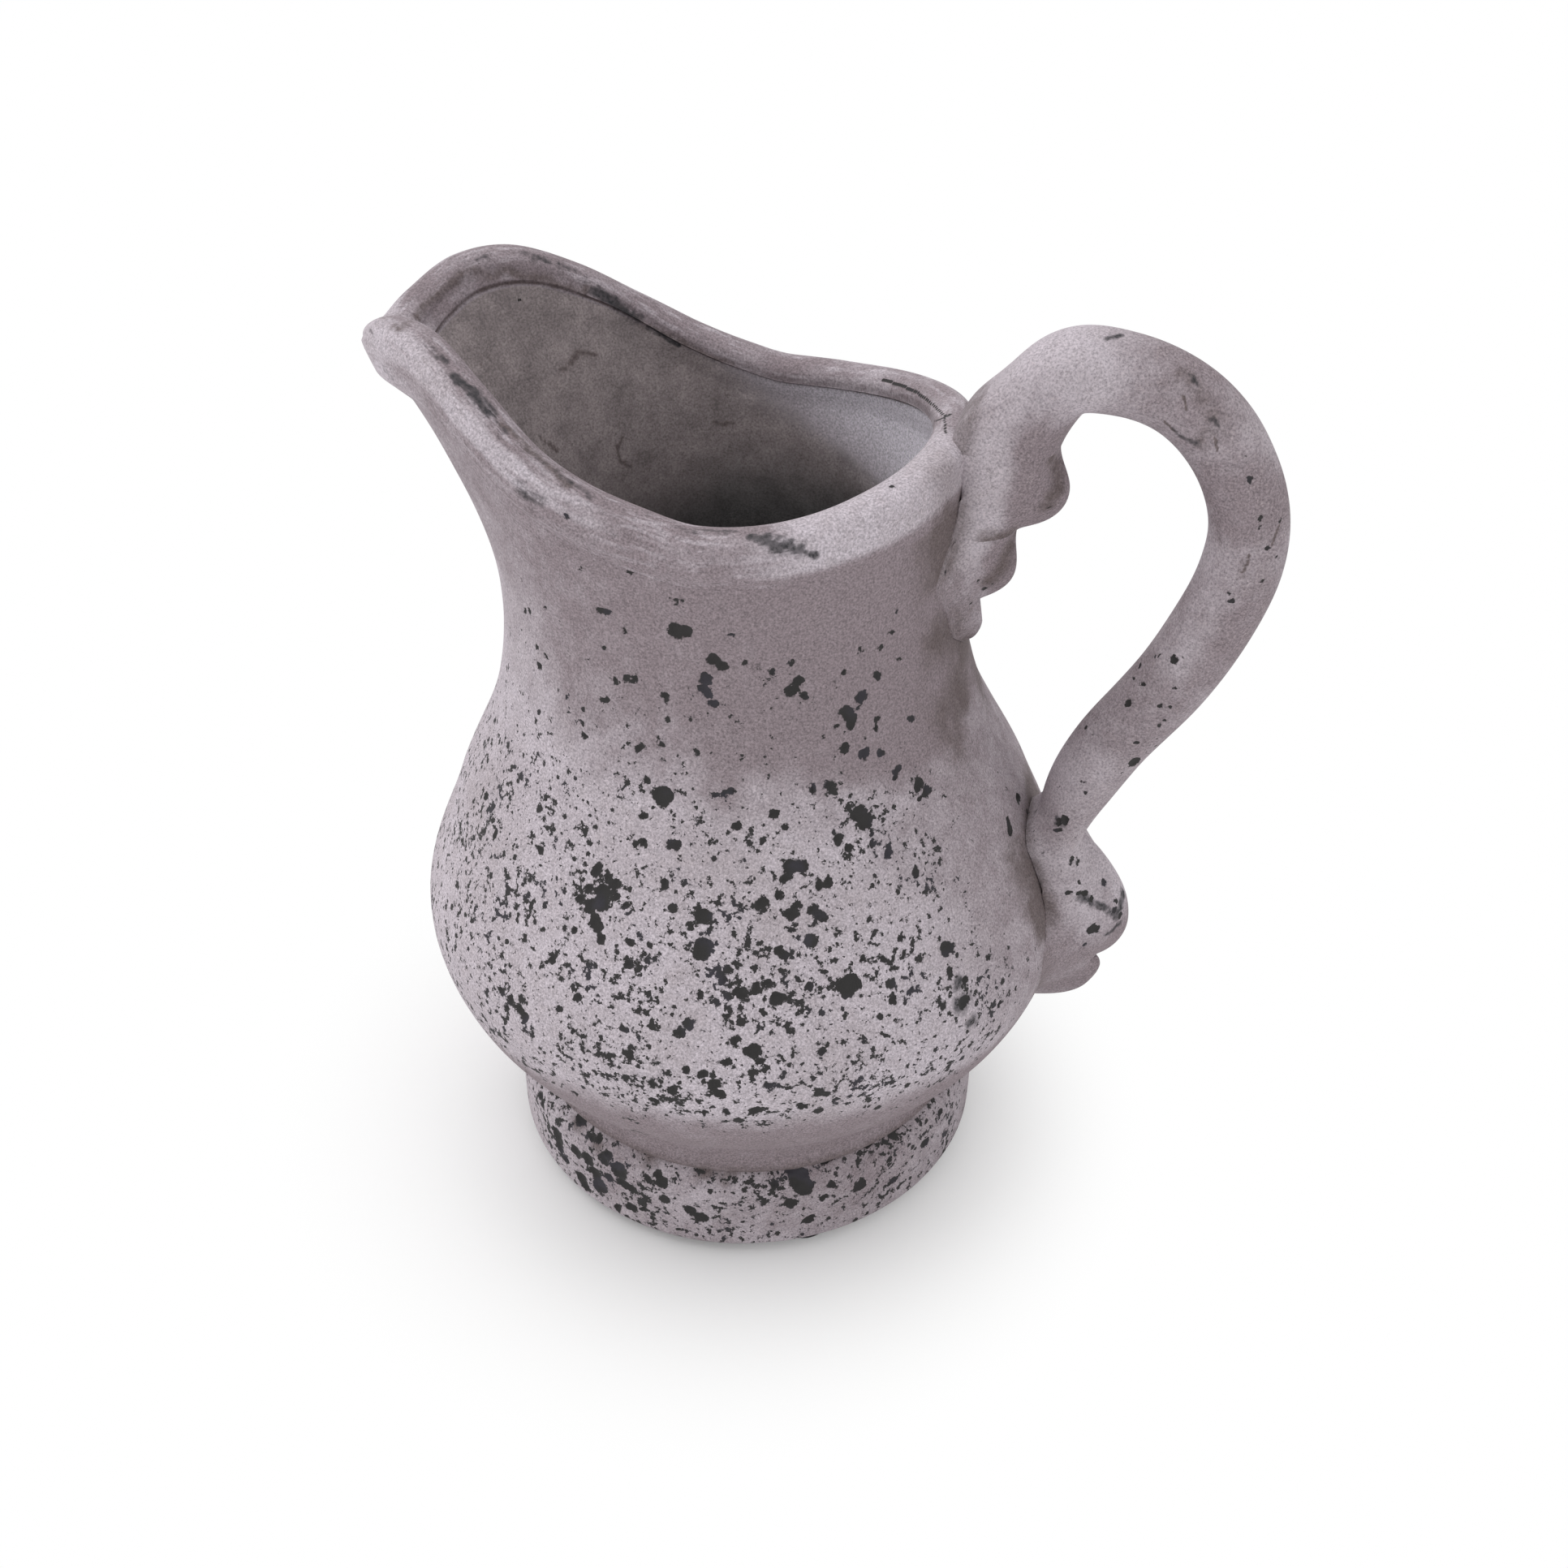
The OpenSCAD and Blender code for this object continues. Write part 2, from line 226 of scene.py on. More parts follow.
def hoops(radii, heights, turns):
    angles = np.radians(turns)
    radii, heights = np.asarray(radii)[:, None], np.asarray(heights)[:, None]
    return np.stack([radii * np.cos(angles), radii * np.sin(angles),
                     heights + 0 * angles], -1)


rubber = new_material("pad_rubber")
place = places_mm()
rubber_dust = cloudy(place, 1.4, 4).step(0.45, 0.75)
rubber_skin = cloudy(place, 0.22, 2)
surface(Wire.node("ShaderNodeBsdfPrincipled", None, {
    "Base Color": Wire.node("ShaderNodeValToRGB", {"stops": [(0, (0.010, 0.010, 0.011, 1)),
                                                             (1, (0.055, 0.050, 0.048, 1))]},
                            {"Fac": rubber_dust}),
    "Roughness": 0.62 + rubber_skin * 0.3,
    "Normal": Wire.node("ShaderNodeBump", None, {"Height": rubber_skin, "Distance": 0.00008})}))

pad_edge, pad_sides = 0.5, 64
pad_flat = np.linspace(0.4, 0.85, 4)
bend = np.radians(np.linspace(0, 90, 7))
for number in (1, 2, 3):
    node = f"foot_pad_{number}"
    low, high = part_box(node)
    pad_middle = (low + high) / 2 / mm
    pad_r, pad_t = (high.y - low.y) / 2 / mm, (high.z - low.z) / mm
    pad_radii = np.concatenate([pad_flat * pad_r, pad_r - pad_edge + pad_edge * np.sin(bend),
                                pad_r - pad_edge + pad_edge * np.cos(bend), pad_flat[::-1] * pad_r])
    pad_heights = np.concatenate([0 * pad_flat, pad_edge - pad_edge * np.cos(bend),
                                  pad_t - pad_edge + pad_edge * np.sin(bend), 0 * pad_flat + pad_t])
    pad = lofted(f"pad_{number}",
                 hoops(pad_radii, pad_heights, np.linspace(0, 360, pad_sides, endpoint=False))
                 + np.array([pad_middle.x, pad_middle.y, 0]), rubber)
    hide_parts(node)


# Foot ring
# A heavy ring of the same stoneware carries the belly. It is thrown by itself, its top edge is
# rounded over with a wet sponge, and it is joined to the belly with slip, which leaves a crease.
def lumps(places, size, seed):
    """Soft random lumps from -1 to 1, of a size in mm."""
    table = np.random.default_rng(seed).uniform(-1, 1, (32, 32, 32))
    cell = np.floor(places / size).astype(int)
    s = places / size - cell
    s = s * s * (3 - 2 * s)
    total = 0
    for corner in np.ndindex(2, 2, 2):
        weight = np.prod(np.where(corner, s, 1 - s), -1)
        total = total + weight * table[tuple(np.moveaxis((cell + corner) % 32, -1, 0))]
    return total


def cosine(degrees):
    return np.cos(np.radians(degrees))


def eased(value, low, high):
    s = np.clip((value - low) / (high - low), 0, 1)
    return s * s * (3 - 2 * s)


def facing(rows):
    """Outward directions of rows of points that run round."""
    along = np.roll(rows, -1, 1) - np.roll(rows, 1, 1)
    up = np.gradient(rows, axis=0)
    out = np.cross(along, up)
    return out / np.maximum(np.linalg.norm(out, axis=-1, keepdims=True), 1e-9)


def marks_seen(rows, marks):
    """Places and radii in mm of marks given by their pixels in the photograph: x, y and radius."""
    points, out = rows.reshape(-1, 3), facing(rows).reshape(-1, 3)
    view = np.array(camera.matrix_world.inverted())
    local = points * mm @ view[:3, :3].T + view[:3, 3]
    pixels = photo_px / 2 + lens_px * local[:, :2] / -local[:, 2:] * np.array([1, -1])
    hidden = np.sum((np.array(eye_place) / mm - points) * out, -1) <= 0
    behind = 1e4 * hidden - 0.02 * local[:, 2] / mm
    found = []
    for x, y, r in marks:
        nearest = np.argmin(np.hypot(pixels[:, 0] - x, pixels[:, 1] - y) + behind)
        found.append((points[nearest], r * -local[nearest, 2] / lens_px / mm))
    return found


def strokes(*lines):
    """Marks along lines of the photograph, each a radius and the places that it runs through."""
    found = []
    for r, *places in lines:
        for (x0, y0), (x1, y1) in zip(places, places[1:]):
            steps = max(1, round(math.hypot(x1 - x0, y1 - y0) / (0.6 * r)))
            found += [(x0 + (x1 - x0) * k / steps, y0 + (y1 - y0) * k / steps, r)
                      for k in range(steps + 1)]
    return found


def chips_strewn(rows, count, seed, likely):
    """Random chips where a share from 0 to 1 says they are likely, some of them in small groups."""
    rng = np.random.default_rng(seed)
    found = []
    while len(found) < count:
        i, j = rng.integers(rows.shape[0]), rng.integers(rows.shape[1])
        r, luck, group = 0.5 + 1.7 * rng.random() ** 3.2, rng.random(), rng.random()
        steps = rng.normal(0, 1.6, (3, 3))
        if luck < likely[i, j]:
            found.append((rows[i, j], r))
            if group < 0.45:
                found += [(rows[i, j] + step * r, r * 0.62) for step in steps]
    return found


def ragged_rows(rows):
    """Rows shaken a little, so that marks measured on them get ragged edges."""
    return rows + 0.5 * np.stack([lumps(rows, 1.5, seed) for seed in (11, 12, 13)], -1) \
        + 0.7 * np.stack([lumps(rows, 4, seed) for seed in (14, 15, 16)], -1)


def inside_marks(rows, marks, soft=False, ragged=True):
    """How deep inside a mark each point is, in mm, or softly as a share of the mark's radius."""
    rough = ragged_rows(rows) if ragged else rows
    deep = np.full(rows.shape[:2], 0.0 if soft else -3.0)
    for middle, r in marks:
        near = np.abs(rough[..., 2] - middle[2]) < r + 3
        gap = np.linalg.norm(rough[near] - middle, axis=-1)
        deep[near] = np.maximum(deep[near], 1 - gap / r if soft else r - gap)
    return deep


def softly_seen(rows, marks, ragged=True):
    """Soft shares of marks given by their pixels in the photograph, which fade to their edges."""
    return inside_marks(rows, marks_seen(rows, marks), soft=True, ragged=ragged)


def worn(rows, chips, depth=0.55):
    """Rows pressed in by the potter's hand and by chips, and how deep inside a chip each point is."""
    chip = inside_marks(rows, chips)
    press = 0.22 * (0.7 * lumps(rows, 26, 3) + 0.3 * lumps(rows, 8, 4) - 1)
    press = press - depth * eased(chip, -0.1, 0.7)
    return rows + facing(rows) * press[..., None], chip


def fact(name, out="Fac"):
    return Wire.node("ShaderNodeAttribute", {"attribute_name": name}, None, out)


# The stone wash of every stoneware piece: a pale mauve slip over dark clay, clouded and sandy,
# rubbed thin to a dusky tone in places, brown in the creases, and chipped down to the clay.
# The dusky tone and the brown also hold painted shade, in the creases, in hollows, inside and on
# the side away from the lamp; a lilac painted light and painted highlights lift it in places.
stoneware = new_material("washed_stoneware")
place = places_mm()
pale_wash, warm_wash = (0.555, 0.50, 0.545, 1), (0.46, 0.407, 0.436, 1)
dusky_wash_and_shade, painted_light_lilac = (0.27, 0.222, 0.24, 1), (0.84, 0.80, 0.88, 1)
inside_wash_and_shade, inside_deep_shade = (0.32, 0.275, 0.278, 1), (0.16, 0.155, 0.155, 1)
smudge_and_shade_brown, scuff_grey = (0.140, 0.110, 0.108, 1), (0.042, 0.041, 0.045, 1)
dark_clay, blue_clay = (0.032, 0.030, 0.030, 1), (0.041, 0.038, 0.047, 1)

cloud = cloudy(place, 22, 3, 0.5)
mottle = cloudy(place, 3.0, 4, 0.62)
sand = cloudy(place, 0.45, 3, 0.75)
streak = cloudy(fact("brush", "Vector"), 1.6, 4, 0.6)
colour = Wire.node("ShaderNodeValToRGB", {"stops": [(0.36, warm_wash), (0.58, pale_wash)]},
                   {"Fac": cloud * 0.5 + mottle * 0.5})
# The dusky tint follows the wash's own tone together with painted shade, and drops where a highlight is
# painted.
dusk = fact("dusk") + mottle.swing(0.6) + cloudy(place, 7, 4, 0.62).swing(0.7)
colour = colour.tinted(dusky_wash_and_shade, dusk.step(0.12, 0.95))
brushed = fact("brushed")
colour = colour.tinted(dusky_wash_and_shade, streak.step(0.52, 0.68) * brushed * 0.75)
colour = colour.tinted(pale_wash, (1 - streak.step(0.34, 0.50)) * brushed * 0.6)
# Painted shade inside the pitcher: a dusky brown near the rim, deepening to dark further down.
inside = fact("inside") + mottle.swing(0.3) + sand.swing(0.5)
colour = colour.tinted(inside_wash_and_shade, inside.step(0.0, 0.25))
colour = colour.tinted(inside_deep_shade, inside.step(0.25, 1.0))
# Painted light: a pale lilac where the lamp shines in through the mouth onto the inside wall.
colour = colour.tinted(painted_light_lilac, fact("wiped"))
colour = colour.tinted(1 + cloudy(place, 6, 5, 0.65).swing(1.5), inside.step(0.0, 0.25), "MULTIPLY")
# Brown smudges of dirt, together with painted shade in creases, hollows and beside the grip.
smudge = fact("smudge") * (0.35 + 1.3 * mottle)
colour = colour.tinted(smudge_and_shade_brown, smudge.step(0.05, 0.95) * 0.9)
colour = colour.tinted(1 + sand.swing(2.3), 1.0, "MULTIPLY")

ragged = place.moved(cloudy(place, 0.8, 3, 0.65, "Color").moved((-0.5, -0.5, -0.5)).scaled(1.5))
dense = fact("dense")


def speckled(cell, reach, power, soft):
    """Specks in cells of a size in mm, with a reach in cells. A high power makes large ones rare."""
    spots = {"Vector": ragged, "Scale": 1 / cell}
    gap = Wire.node("ShaderNodeTexVoronoi", None, spots)
    chance = Wire.node("ShaderNodeSeparateColor", None,
                       {"Color": Wire.node("ShaderNodeTexVoronoi", None, spots, "Color")})
    return ((chance ** power) * reach * dense - gap).step(0, soft)


large_specks, middle_specks = (5.2, 0.30, 2.6, 0.04), (2.1, 0.34, 2.0, 0.06)
fine_specks = (1.05, 0.30, 2.2, 0.10)
edge = fact("chip") + 0.12 + cloudy(place, 1.3, 4, 0.62).swing(2.0)
chip_mask = edge.step(0.0, 0.16)
blotch = cloudy(place, 1.9, 5, 0.66) + dense * 0.14 + cloudy(place, 11, 2).swing(0.30)
specks = speckled(*large_specks).over(speckled(*middle_specks)).over(speckled(*fine_specks))
specks = specks.over(blotch.step(0.715, 0.735) * dense.step(0.15, 0.4))
scuff = fact("scuff") - 0.08 + cloudy(place, 1.5, 5, 0.72).swing(1.3) + streak.swing(1.5)
scuff = scuff.step(0.0, 0.65) * fact("scuff").step(0.0, 0.3)
marks = chip_mask.over(specks).over(fact("crack").step(0.25, 0.6))
clay = Wire.node("ShaderNodeMix", {"data_type": "RGBA"},
                 {0: cloudy(place, 7, 2).step(0.52, 0.70), 6: dark_clay, 7: blue_clay}, 2)
colour = colour.tinted(scuff_grey, scuff * (0.2 + cloudy(place, 0.9, 3, 0.7) * 1.3))
colour = colour.tinted(clay, marks)
height = sand * 0.35 + mottle * 0.5 - marks * 1.6
surface(Wire.node("ShaderNodeBsdfPrincipled", None, {
    "Base Color": colour,
    "Roughness": 0.88 - marks * 0.16 + sand.swing(0.12),
    "Specular IOR Level": 0.3,
    "Normal": Wire.node("ShaderNodeBump", None,
                        {"Height": height, "Strength": 0.6, "Distance": 0.00025})}))

around = 512
turns = np.linspace(0, 360, around, endpoint=False)
foot_r, foot_hollow_r, foot_edge, foot_shoulder, foot_tuck = 55, 40, 2, 8.5, 0.6
foot_low, foot_high = (corner.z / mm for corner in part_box("foot_ring"))
waist_z, waist_r = foot_high, 49.5
quarter = np.radians(np.linspace(0, 90, 14))
shoulder = np.radians(np.linspace(0, 90, 28))
foot_radii = np.concatenate([
    np.linspace(foot_hollow_r + 1.2, foot_r - foot_edge, 20)[:-1],
    foot_r - foot_edge + foot_edge * np.sin(quarter),
    np.full(18, foot_r),
    waist_r - foot_tuck + (foot_r - waist_r + foot_tuck) * np.cos(shoulder),
    [foot_hollow_r + foot_tuck, foot_hollow_r]])
foot_heights = np.concatenate([
    np.full(19, foot_low),
    foot_low + foot_edge - foot_edge * np.cos(quarter),
    np.linspace(foot_low + foot_edge, foot_high - foot_shoulder, 20)[1:-1],
    foot_high - foot_shoulder * (1 - np.sin(shoulder)),
    [foot_high, foot_high - foot_tuck]])
hollow_heights = np.linspace(foot_high - 1.6, foot_low + foot_tuck, 16)
foot_rows = hoops(np.concatenate([foot_radii, 0 * hollow_heights + foot_hollow_r]),
                  np.concatenate([foot_heights, hollow_heights]), turns)
foot_chips_px = [
    (713, 1380, 8), (686, 1398, 11), (688, 1412, 9), (727, 1401, 6), (736, 1403, 6), (708, 1418, 9),
    (722, 1428, 9), (742, 1428, 7), (750, 1423, 6), (762, 1442, 12), (748, 1450, 8), (733, 1446, 10),
    (737, 1462, 13), (715, 1452, 9), (722, 1462, 8), (769, 1460, 8), (777, 1466, 7), (812, 1448, 6),
    (816, 1458, 8), (797, 1453, 6), (774, 1488, 7), (781, 1490, 7), (762, 1489, 5), (793, 1491, 5),
    (698, 1429, 7), (850, 1494, 8), (860, 1500, 9), (666, 1351, 6), (668, 1360, 6), (978, 1443, 9),
    (985, 1452, 11), (994, 1462, 11), (1019, 1420, 11), (1066, 1405, 8), (1101, 1383, 7),
    (1060, 1460, 9), (973, 1484, 9), (995, 1505, 7), (1015, 1478, 6), (954, 1459, 6), (1023, 1460, 7),
    (1097, 1432, 5), (1102, 1456, 6), (1140, 1410, 7), (1160, 1372, 6)]
foot_smears_px = [(868, 1440, 26), (893, 1446, 26), (800, 1425, 24), (710, 1385, 20), (735, 1412, 22)]
photo_turn = 76
foot_up = foot_rows[..., 2]
foot_unseen = 1 - eased(cosine(turns + photo_turn), -0.1, 0.3)
foot_likely = foot_unseen * 0.6 * (np.hypot(foot_rows[..., 0], foot_rows[..., 1]) > waist_r)
foot_smear = softly_seen(foot_rows, foot_smears_px)
foot_rows, foot_chip = worn(foot_rows, marks_seen(foot_rows, foot_chips_px)
                            + chips_strewn(foot_rows, 60, 21, foot_likely))
# Painted shade in the crease where the foot meets the belly, dusky and brown.
foot_crease = eased(foot_up, waist_z - 1.6, waist_z - 0.1)
foot = lofted("foot_ring_stone", foot_rows, stoneware, joined=True, facts={
    "chip": foot_chip + 0.12,
    "dense": 1.05 + 0.3 * lumps(foot_rows, 14, 31) - 0.5 * foot_crease,
    # Its last term is painted shade on the foot's side away from the lamp.
    "dusk": 0.42 + 0.2 * lumps(foot_rows, 18, 30) + 0.45 * foot_crease + 0.2 * cosine(turns + 20),
    # The foot also turns browner towards its bottom edge.
    "smudge": np.maximum(0.9 * foot_crease, foot_smear) + 0.3 * eased(-foot_up, -6, -foot_low)})
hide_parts("foot_ring")


# Body
# The belly and neck are one thrown stoneware wall about 7 mm thick, closed by a floor, and drawn
# out by hand towards the lip while wet, so the neck leans to that side and curls out near the top.
def smooth_line(knots, first=None, last=None):
    """A smooth curve through places and values, with the slopes at its ends if they are given."""
    at, value = np.array(knots, float).T
    gaps, chords = np.diff(at), np.diff(value) / np.diff(at)
    between = (chords[:-1] * gaps[1:] + chords[1:] * gaps[:-1]) / (gaps[1:] + gaps[:-1])
    slopes = np.concatenate([[chords[0] if first is None else first], between,
                             [chords[-1] if last is None else last]])

    def line(x):
        x = np.clip(x, at[0], at[-1])
        i = np.clip(np.searchsorted(at, x, side="right") - 1, 0, len(at) - 2)
        h, s = gaps[i], (x - at[i]) / gaps[i]
        return (value[i] * (1 + 2 * s) * (1 - s) ** 2 + slopes[i] * h * s * (1 - s) ** 2
                + value[i + 1] * s * s * (3 - 2 * s) + slopes[i + 1] * h * s * s * (s - 1))
    return line


belly_z, belly_r, neck_z, neck_r, rim_z = 68, 71.5, 143, 43.4, 172
wall_t, floor_t, mouth_r, rim_t, rim_dome = 7, 8, 39, 8.8, 3.3
rim_rise, lip_reach, lip_rise, lean_z = 7, 70, 24, 81
lean_share, lean_power, curl_power, band_share = 0.42, 1.35, 7.5, 0.93
underside_shares, shoulder_shares = ((0.2, 0.2), (0.41, 0.56)), ((0.356, 0.33), (0.692, 0.795))
wall_r = smooth_line(
    [(waist_z, waist_r)]
    + [(waist_z + up * (belly_z - waist_z), waist_r + out * (belly_r - waist_r))
       for up, out in underside_shares]
    + [(belly_z, belly_r)]
    + [(belly_z + up * (neck_z - belly_z), belly_r + out * (neck_r - belly_r))
       for up, out in shoulder_shares]
    + [(neck_z, neck_r), (rim_z, mouth_r + rim_t / 2)], first=0.1, last=0)


def rounded(a, b, c, d, s):
    """A smooth curve from b to c at a share of the way, with a and d as the places beside them."""
    return (2 * b + (c - a) * s + (2 * a - 5 * b + 4 * c - d) * s ** 2
            + (3 * b - a - 3 * c + d) * s ** 3) / 2


# The lip from the side of the mouth to its tip: shares of its reach, of the mouth's radius and of
# its rise, with a mirrored place before the first and after the last
lip_shares = [(0, 1, 0), (0.154, 0.995, 0.09), (0.308, 0.985, 0.24), (0.46, 0.935, 0.47),
              (0.615, 0.79, 0.765), (0.769, 0.60, 0.985), (0.90, 0.42, 0.97), (0.98, 0.21, 0.80),
              (1, 0, 0.70)]
lip_places = np.array([(-0.154, 0.995, 0.09), *lip_shares, (0.98, -0.21, 0.80)])


def crest(turn):
    """Middle of the rim at turns from the handle."""
    turn = np.mod(turn, 360)
    side, half = np.where(turn <= 180, 1, -1), np.where(turn <= 180, turn, 360 - turn)
    x = np.clip((half - 90) / 90, 0, 1) * (len(lip_shares) - 1)
    i = np.minimum(np.floor(x).astype(int), len(lip_shares) - 2)
    q = rounded(*(lip_places[i + k] for k in range(4)), (x - i)[..., None])
    a = np.radians(half)
    mouth = np.stack([mouth_r * np.cos(a), side * mouth_r * np.sin(a),
                      rim_z + rim_rise * np.cos(a) ** 2], -1)
    lip = np.stack([-lip_reach * q[..., 0], side * mouth_r * q[..., 1],
                    rim_z + lip_rise * q[..., 2]], -1)
    return np.where((half <= 90)[..., None], mouth, lip)


def outward(turn):
    """Level directions out from the rim at turns from the handle."""
    step = crest(turn + 0.05) - crest(turn - 0.05)
    flat = np.stack([step[..., 1], -step[..., 0]], -1)
    return flat / np.linalg.norm(flat, axis=-1, keepdims=True)


def wall_at(turns, share, offset):
    """Points of the wall at shares of its leaning height and offsets from the rim's middle."""
    share = np.reshape(share, (-1, 1))
    offset = np.reshape(offset, (-1, 1)) if np.ndim(offset) < 2 else offset
    ray = np.stack([np.cos(np.radians(turns)), np.sin(np.radians(turns))], -1)
    top = crest(turns)
    lean = lean_share * share ** lean_power + (1 - lean_share) * share ** curl_power
    z = lean_z + (rim_z - lean_z) * share + lean * (top[:, 2] - rim_z)
    r = wall_r(z) - rim_t / 2 + offset
    pull = top[:, :2] + offset[..., None] * outward(turns) - (mouth_r + offset)[..., None] * ray
    flat = r[..., None] * ray + lean[..., None] * pull
    return np.concatenate([flat, z[..., None]], -1)


slip_fill, slip_z, slip_low = 3.2, 11, 2.2
under_share = np.linspace(0, 1, 116, endpoint=False) ** 1.2
under_z = waist_z - slip_low + (lean_z - waist_z + slip_low) * under_share
under_r = wall_r(under_z) + slip_fill * np.clip(1 - (under_z - waist_z) / slip_z, 0, 1) ** 2 \
    - 0.5 * np.clip(waist_z - under_z, 0, slip_low)
leaning = np.linspace(0, band_share, 150)
outer = np.concatenate([hoops(under_r, under_z, turns), wall_at(turns, leaning, rim_t / 2)])
inner_z = np.linspace(lean_z, waist_z + floor_t, 40)[1:]
inner = np.concatenate([wall_at(turns, np.linspace(band_share, 0, 120), rim_t / 2 - wall_t),
                        hoops(wall_r(inner_z) - wall_t, inner_z, turns)])
floor_r = wall_r(waist_z + floor_t) - wall_t
floor_rows = hoops(np.linspace(floor_r, 2, 16)[1:], np.full(15, waist_z + floor_t), turns)
under_rows = hoops(np.linspace(2, foot_hollow_r + 4, 15), np.full(15, waist_z), turns)

body_chips_px = [
    (832, 741, 6), (839, 744, 5), (831, 777, 12), (842, 779, 10), (738, 753, 4), (747, 758, 5),
    (881, 814, 9), (890, 822, 8), (868, 838, 9), (872, 852, 9), (880, 866, 7), (771, 833, 6),
    (781, 838, 7), (753, 838, 6), (818, 858, 7), (823, 867, 6), (743, 862, 5), (918, 818, 5),
    (955, 831, 6), (978, 851, 10), (984, 842, 8), (994, 862, 6), (1045, 876, 10), (1047, 887, 10),
    (1067, 858, 8), (1081, 831, 7), (1080, 886, 5), (1079, 898, 5), (1041, 922, 7), (1064, 931, 8),
    (1087, 930, 6), (1106, 950, 6), (1106, 960, 5), (1131, 966, 9), (1140, 975, 8), (1134, 985, 5),
    (1024, 966, 7), (1029, 973, 6), (1061, 1002, 11), (1069, 1012, 11), (815, 983, 13), (819, 980, 12),
    (880, 980, 5), (890, 978, 5), (900, 976, 5), (799, 959, 6), (785, 923, 7), (814, 918, 4),
    (859, 927, 5), (953, 1003, 8), (1034, 1030, 7), (1045, 1045, 7), (1076, 1028, 5), (1080, 1039, 6),
    (1095, 1050, 7), (976, 1066, 9), (984, 1071, 7), (783, 1042, 6), (792, 1041, 6), (826, 1042, 6),
    (834, 1043, 7), (663, 1045, 7), (732, 1070, 7), (1062, 802, 5), (663, 823, 6), (648, 751, 5),
    (718, 906, 5), (1002, 973, 6), (938, 1038, 6), (1131, 1074, 7), (1112, 815, 4), (967, 1017, 6),
    (908, 1018, 6), (1011, 1093, 8), (1020, 1088, 8), (978, 1124, 10), (985, 1115, 8), (1003, 1122, 9),
    (1012, 1131, 9), (942, 1114, 8), (964, 1102, 8), (968, 1081, 6), (962, 1172, 7), (966, 1180, 7),
    (977, 1148, 6), (948, 1214, 8), (931, 1216, 9), (960, 1232, 9), (916, 1227, 8), (892, 1209, 7),
    (1045, 1216, 14), (1103, 1230, 8), (1125, 1222, 5), (1122, 1202, 6), (1164, 1168, 10),
    (1160, 1158, 6), (1175, 1167, 6), (1169, 1198, 7), (1171, 1206, 6), (1087, 1179, 6),
    (1065, 1182, 5), (1117, 1177, 5), (1112, 1156, 5), (1073, 1093, 5), (1190, 1210, 6),
    (1190, 1234, 9), (1220, 1182, 5), (1000, 1216, 7), (786, 923, 6), (788, 1006, 6), (819, 1090, 6),
    (867, 1131, 11), (866, 1172, 13), (849, 1145, 6), (801, 1165, 5), (740, 1101, 12), (733, 1135, 11),
    (716, 1109, 7), (731, 1076, 6), (746, 1080, 7), (770, 1117, 6), (738, 1155, 8), (775, 1158, 6),
    (695, 1145, 5), (707, 1146, 5), (692, 1132, 5), (755, 1091, 7), (680, 1180, 7), (610, 1026, 6),
    (598, 983, 6), (774, 1191, 7), (712, 1232, 6), (645, 1255, 9), (622, 1242, 5), (684, 1242, 6),
    (768, 1267, 7), (703, 1270, 5), (699, 1284, 5), (839, 1272, 7), (927, 1298, 10), (939, 1311, 8),
    (893, 1312, 8), (869, 1328, 7), (885, 1339, 10), (888, 1350, 8), (828, 1344, 9), (869, 1372, 6),
    (893, 1372, 7), (931, 1372, 8), (952, 1341, 6), (989, 1364, 7), (1060, 1284, 5), (1103, 1284, 5),
    (905, 1284, 7), (1015, 1298, 5), (805, 1357, 7), (802, 1334, 6), (846, 1317, 8), (776, 1303, 8),
    (764, 1296, 5), (709, 1349, 6), (913, 1226, 7), (861, 1226, 5), (894, 1250, 5), (783, 680, 4),
    (716, 703, 3), (741, 755, 4), (765, 779, 4), (744, 799, 4), (661, 800, 4), (645, 753, 4),
    (668, 749, 4), (686, 766, 3), (640, 716, 3), (673, 812, 4), (742, 857, 4), (845, 885, 4),
    (825, 888, 4), (716, 892, 4), (719, 875, 3), (699, 859, 4), (686, 852, 3), (640, 852, 4),
    (630, 872, 4), (663, 878, 4), (706, 905, 4), (815, 918, 4), (1106, 753, 4), (1087, 799, 4),
    (1100, 782, 3), (977, 819, 4), (901, 786, 3), (1040, 832, 4), (1057, 878, 4), (1030, 892, 4),
    (1017, 905, 4), (1123, 885, 5), (1245, 1012, 7), (1246, 1022, 7), (1256, 984, 6), (1220, 1181, 5),
    (1242, 1231, 6), (1233, 1239, 6), (1254, 1216, 4), (730, 1120, 10), (745, 1115, 9), (722, 1095, 7),
    (758, 1104, 7), (629, 1232, 7), (640, 1243, 8), (655, 1262, 8), (618, 1222, 6)]
body_scratches_px = strokes((1.5, (767, 1376), (788, 1386)), (1.5, (776, 1392), (800, 1400)),
                            (1.6, (880, 979), (903, 975)), (1.5, (600, 1080), (612, 1130)))
body_scuffs_px = [(1188, 1236, 22), (1196, 1262, 18), (1182, 1212, 14)]
up = outer[..., 2]
body_unseen = 1 - eased(cosine(turns + photo_turn), -0.05, 0.25)
body_likely = body_unseen * (0.18 + 0.82 * eased(-up, -150, -115)) * (0.5 + 0.5 * lumps(outer, 20, 33))
body_scuff = softly_seen(outer, body_scuffs_px)
outer, chip = worn(outer, marks_seen(outer, body_chips_px + body_scratches_px)
                   + chips_strewn(outer, 230, 22, body_likely))
beside = np.abs(outer[..., 1])
grip_side = outer[..., 0] > 0
